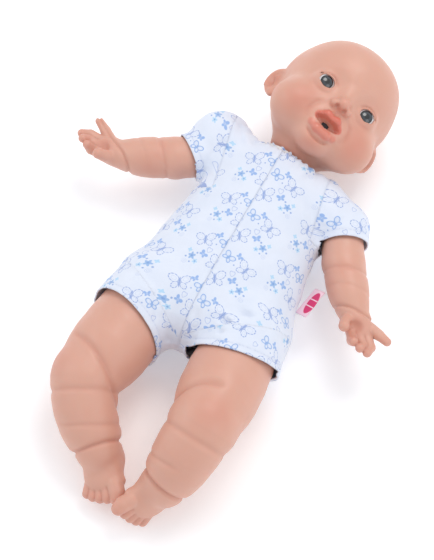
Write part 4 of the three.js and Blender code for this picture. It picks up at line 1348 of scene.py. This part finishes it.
def dress_nodes():
    """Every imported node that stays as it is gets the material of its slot."""
    looks = {
        "case_plastic": plastic("case_plastic", srgb(233, 233, 230), 0.5),
        "dark_plastic": plastic("dark_plastic", srgb(44, 46, 50), 0.5),
        "steel": plastic("steel", srgb(190, 194, 198), 0.32, 0.95, 400),
        "board_green": plastic("board_green", srgb(47, 107, 70), 0.45),
        "tie": plastic("tie", srgb(240, 240, 240), 0.5),
        "strip": plastic("strip", srgb(246, 246, 246), 0.95, 0, 1500),
        "fibre": plastic("fibre", srgb(242, 242, 238), 0.98, 0, 700),
        "vinyl": plastic("vinyl_inside", srgb(222, 166, 149), 0.5),
        "jersey": plastic("jersey_plain", srgb(218, 226, 239), 0.9, 0, 1500),
        "label": plastic("label_plain", srgb(241, 205, 216), 0.7),
        "eye_white": plastic("eye_plain", srgb(240, 240, 238), 0.25),
        "eye_grey": plastic("iris_plain", srgb(77, 86, 92), 0.35),
        "eye_clear": plastic("cornea_plain", srgb(223, 230, 234), 0.1),
        "cell_coat": plastic("cell_coat", srgb(75, 90, 107), 0.4, 0.4),
    }
    slots = {part["node"]: part["material_slot"] for part in frame["record"]["subparts"]}
    for name, node in frame["nodes"].items():
        node.data.materials.clear()
        node.data.materials.append(looks[slots[name]])


# ---- camera and studio ----
def camera():
    data = bpy.data.cameras.new("camera")
    data.lens = 122.46
    data.sensor_width = 36
    data.clip_start, data.clip_end = 0.05, 20
    eye = bpy.data.objects.new("camera", data)
    right = Vector((0.882948, 0.469472, 0.0))
    up = Vector((-0.425486, 0.800222, 0.422618))
    back = Vector((0.198407, -0.373150, 0.906308))
    matrix = Matrix((right, up, back)).transposed().to_4x4()
    matrix.translation = Vector((0.29507, -0.57964, 1.39946))
    eye.matrix_world = matrix
    bpy.context.scene.collection.objects.link(eye)
    bpy.context.scene.camera = eye


def area_light(name, at, size, watts, target=(0, 0, 0.03), colour=(1, 1, 1)):
    data = bpy.data.lights.new(name, "AREA")
    data.shape = "DISK"
    data.size = size
    data.energy = watts
    data.color = colour
    light = bpy.data.objects.new(name, data)
    light.location = at
    light.rotation_euler = (Vector(target) - Vector(at)).to_track_quat("-Z", "Y").to_euler()
    bpy.context.scene.collection.objects.link(light)


def studio():
    """A pale paper floor under soft, even light."""
    bm = bmesh.new()
    bmesh.ops.create_grid(bm, x_segments=8, y_segments=8, size=2.2)
    mesh = bpy.data.meshes.new("floor")
    bm.to_mesh(mesh)
    bm.free()
    floor = bpy.data.objects.new("floor", mesh)
    bpy.context.scene.collection.objects.link(floor)
    g = Graph("floor_paper")
    paper = g.mix(g.noise(3), srgb(249, 249, 250), srgb(252, 252, 252))
    g.set(Base_Color=paper, Roughness=0.9, Emission_Color=(1, 1, 1, 1), Emission_Strength=0.16)
    mesh.materials.append(g.material)
    world = bpy.data.worlds.new("studio")
    world.use_nodes = True
    sky = world.node_tree.nodes["Background"].inputs
    sky["Color"].default_value = (0.93, 0.96, 1.0, 1)
    sky["Strength"].default_value = 0.78
    bpy.context.scene.world = world
    area_light("key", (0.1, 0.9, 1.6), 0.9, 9, target=(0, 0.05, 0.03), colour=(1, 0.985, 0.96))
    area_light("fill", (-1.3, -0.3, 1.1), 1.2, 4.5, colour=(0.97, 0.98, 1))
    area_light("side", (1.3, -0.2, 0.9), 1.0, 3)
    view = bpy.context.scene.view_settings
    view.view_transform = "Standard"
    view.look = "None"


camera()
dress_nodes()
skin = vinyl()
cloth = jersey()
cloth_plain = jersey("jersey_collar")
label_look = label_material()
thread = plastic("thread", srgb(206, 214, 234), 0.8, 0, 2000)

skins = build_head()
for side_name in SIDES:
    skins += [build_arm(side_name), build_leg(side_name)]
for piece in skins:
    piece.data.materials.append(skin)
build_eyes(eye_white("eye_glass"))

# the plunger inside the mouth, with a rounded end
TIP = [(0.02, 26), (3.0, 26), (3.0, 36.2), (2.6, 37.4), (1.4, 38.3), (0.02, 38.6)]
tip = lathe("mouth_tip", TIP, HEAD, (0, -40, 0), 32)
tip.data.materials.append(frame["nodes"]["mouth_plunger"].data.materials[0])
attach(tip, "mouth_button")

# cloth body
STEP = 1.5
cloth_points, cloth_quads = polygonise(body_field, (-104, -116, -6), (104, 128, 90), STEP)
whole = make("whole_body", cloth_points, facing_out(cloth_points, cloth_quads))
pieces = partition(whole)
limbs = {key: pieces.pop(key) for key in SPLITS}

# where each panel starts on the print, across and along in mm
PRINT_AT = {
    "front_left": (6, 4), "front_right": (-9, 15), "back": (3, 9), "flap": (20, 17),
    "sleeve_left": (4, 0), "sleeve_right": (13, 8), "cover_left": (10, 20), "cover_right": (25, 3),
}
# what each kind of limb cloth goes round: its frame, joint, body, node, radius in mm, and reach of the bend
LIMB_CLOTH = {
    "sleeve": (arm_place, "shoulder_{}_swing", "shoulder_{}", "sleeve_{}", 20, 20.0),
    "cover": (leg_place, "hip_{}_lift", "hip_{}", "leg_cover_{}", 34, 18.0),
}
STANDS_FOR = {
    "front_left": ["torso_front_left_panel", "fibre_filling"], "front_right": ["torso_front_right_panel"],
    "back": ["torso_back_panel"], "flap": ["back_flap"],
}

for key, piece in pieces.items():
    unwrap(piece, torso_uv, PRINT_AT[key])
for key, piece in limbs.items():
    kind, name = key.split("_")
    place, radius = LIMB_CLOTH[kind][0](name), LIMB_CLOTH[kind][4]
    down = -place.axes[:, 1]
    unwrap(piece, lambda p: tube_uv(p, place.origin, down, np.array((0, 0, 1.0)), radius), PRINT_AT[key])

for piece in [*pieces.values(), *limbs.values()]:
    cloth_tints(piece)
    thicken(piece, 1.1)
    piece.data.materials.append(cloth)
for key, piece in pieces.items():
    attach(piece, "flap" if key == "flap" else "torso")
    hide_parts(*STANDS_FOR[key])

for key, piece in limbs.items():
    kind, name = key.split("_")
    _, joint, body, node, _, bend = LIMB_CLOTH[kind]
    body = body.format(name)
    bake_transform(piece)
    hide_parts(node.format(name))
    threads = stitch_ring("stitches_" + key, HEMS[key], HEM_REACH[kind] + 3)
    threads.data.materials.append(thread)
    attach(threads, body)

collar = build_collar()
collar_up = (np.array([v.co for v in collar.data.vertices]) / MM - NECK) @ NECK_AXIS
unwrap(collar, lambda p: tube_uv(p, NECK, -NECK_AXIS, HEAD.axes[:, 2], 24))
# painted shade in the fold under the frill and along the frill's seam
tint(collar, "crease_shade", 0.35 * bump(collar_up - 4.8, 1.2))
tint(collar, "seam", 0.3 * bump(collar_up - 5.6, 0.7))
collar.data.materials.append(cloth_plain)
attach(collar, "collar")
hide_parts("neck_collar")

label, label_width, label_length = build_label()
label.data.materials.append(label_look)
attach(label, "torso")
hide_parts("side_label")

studio()
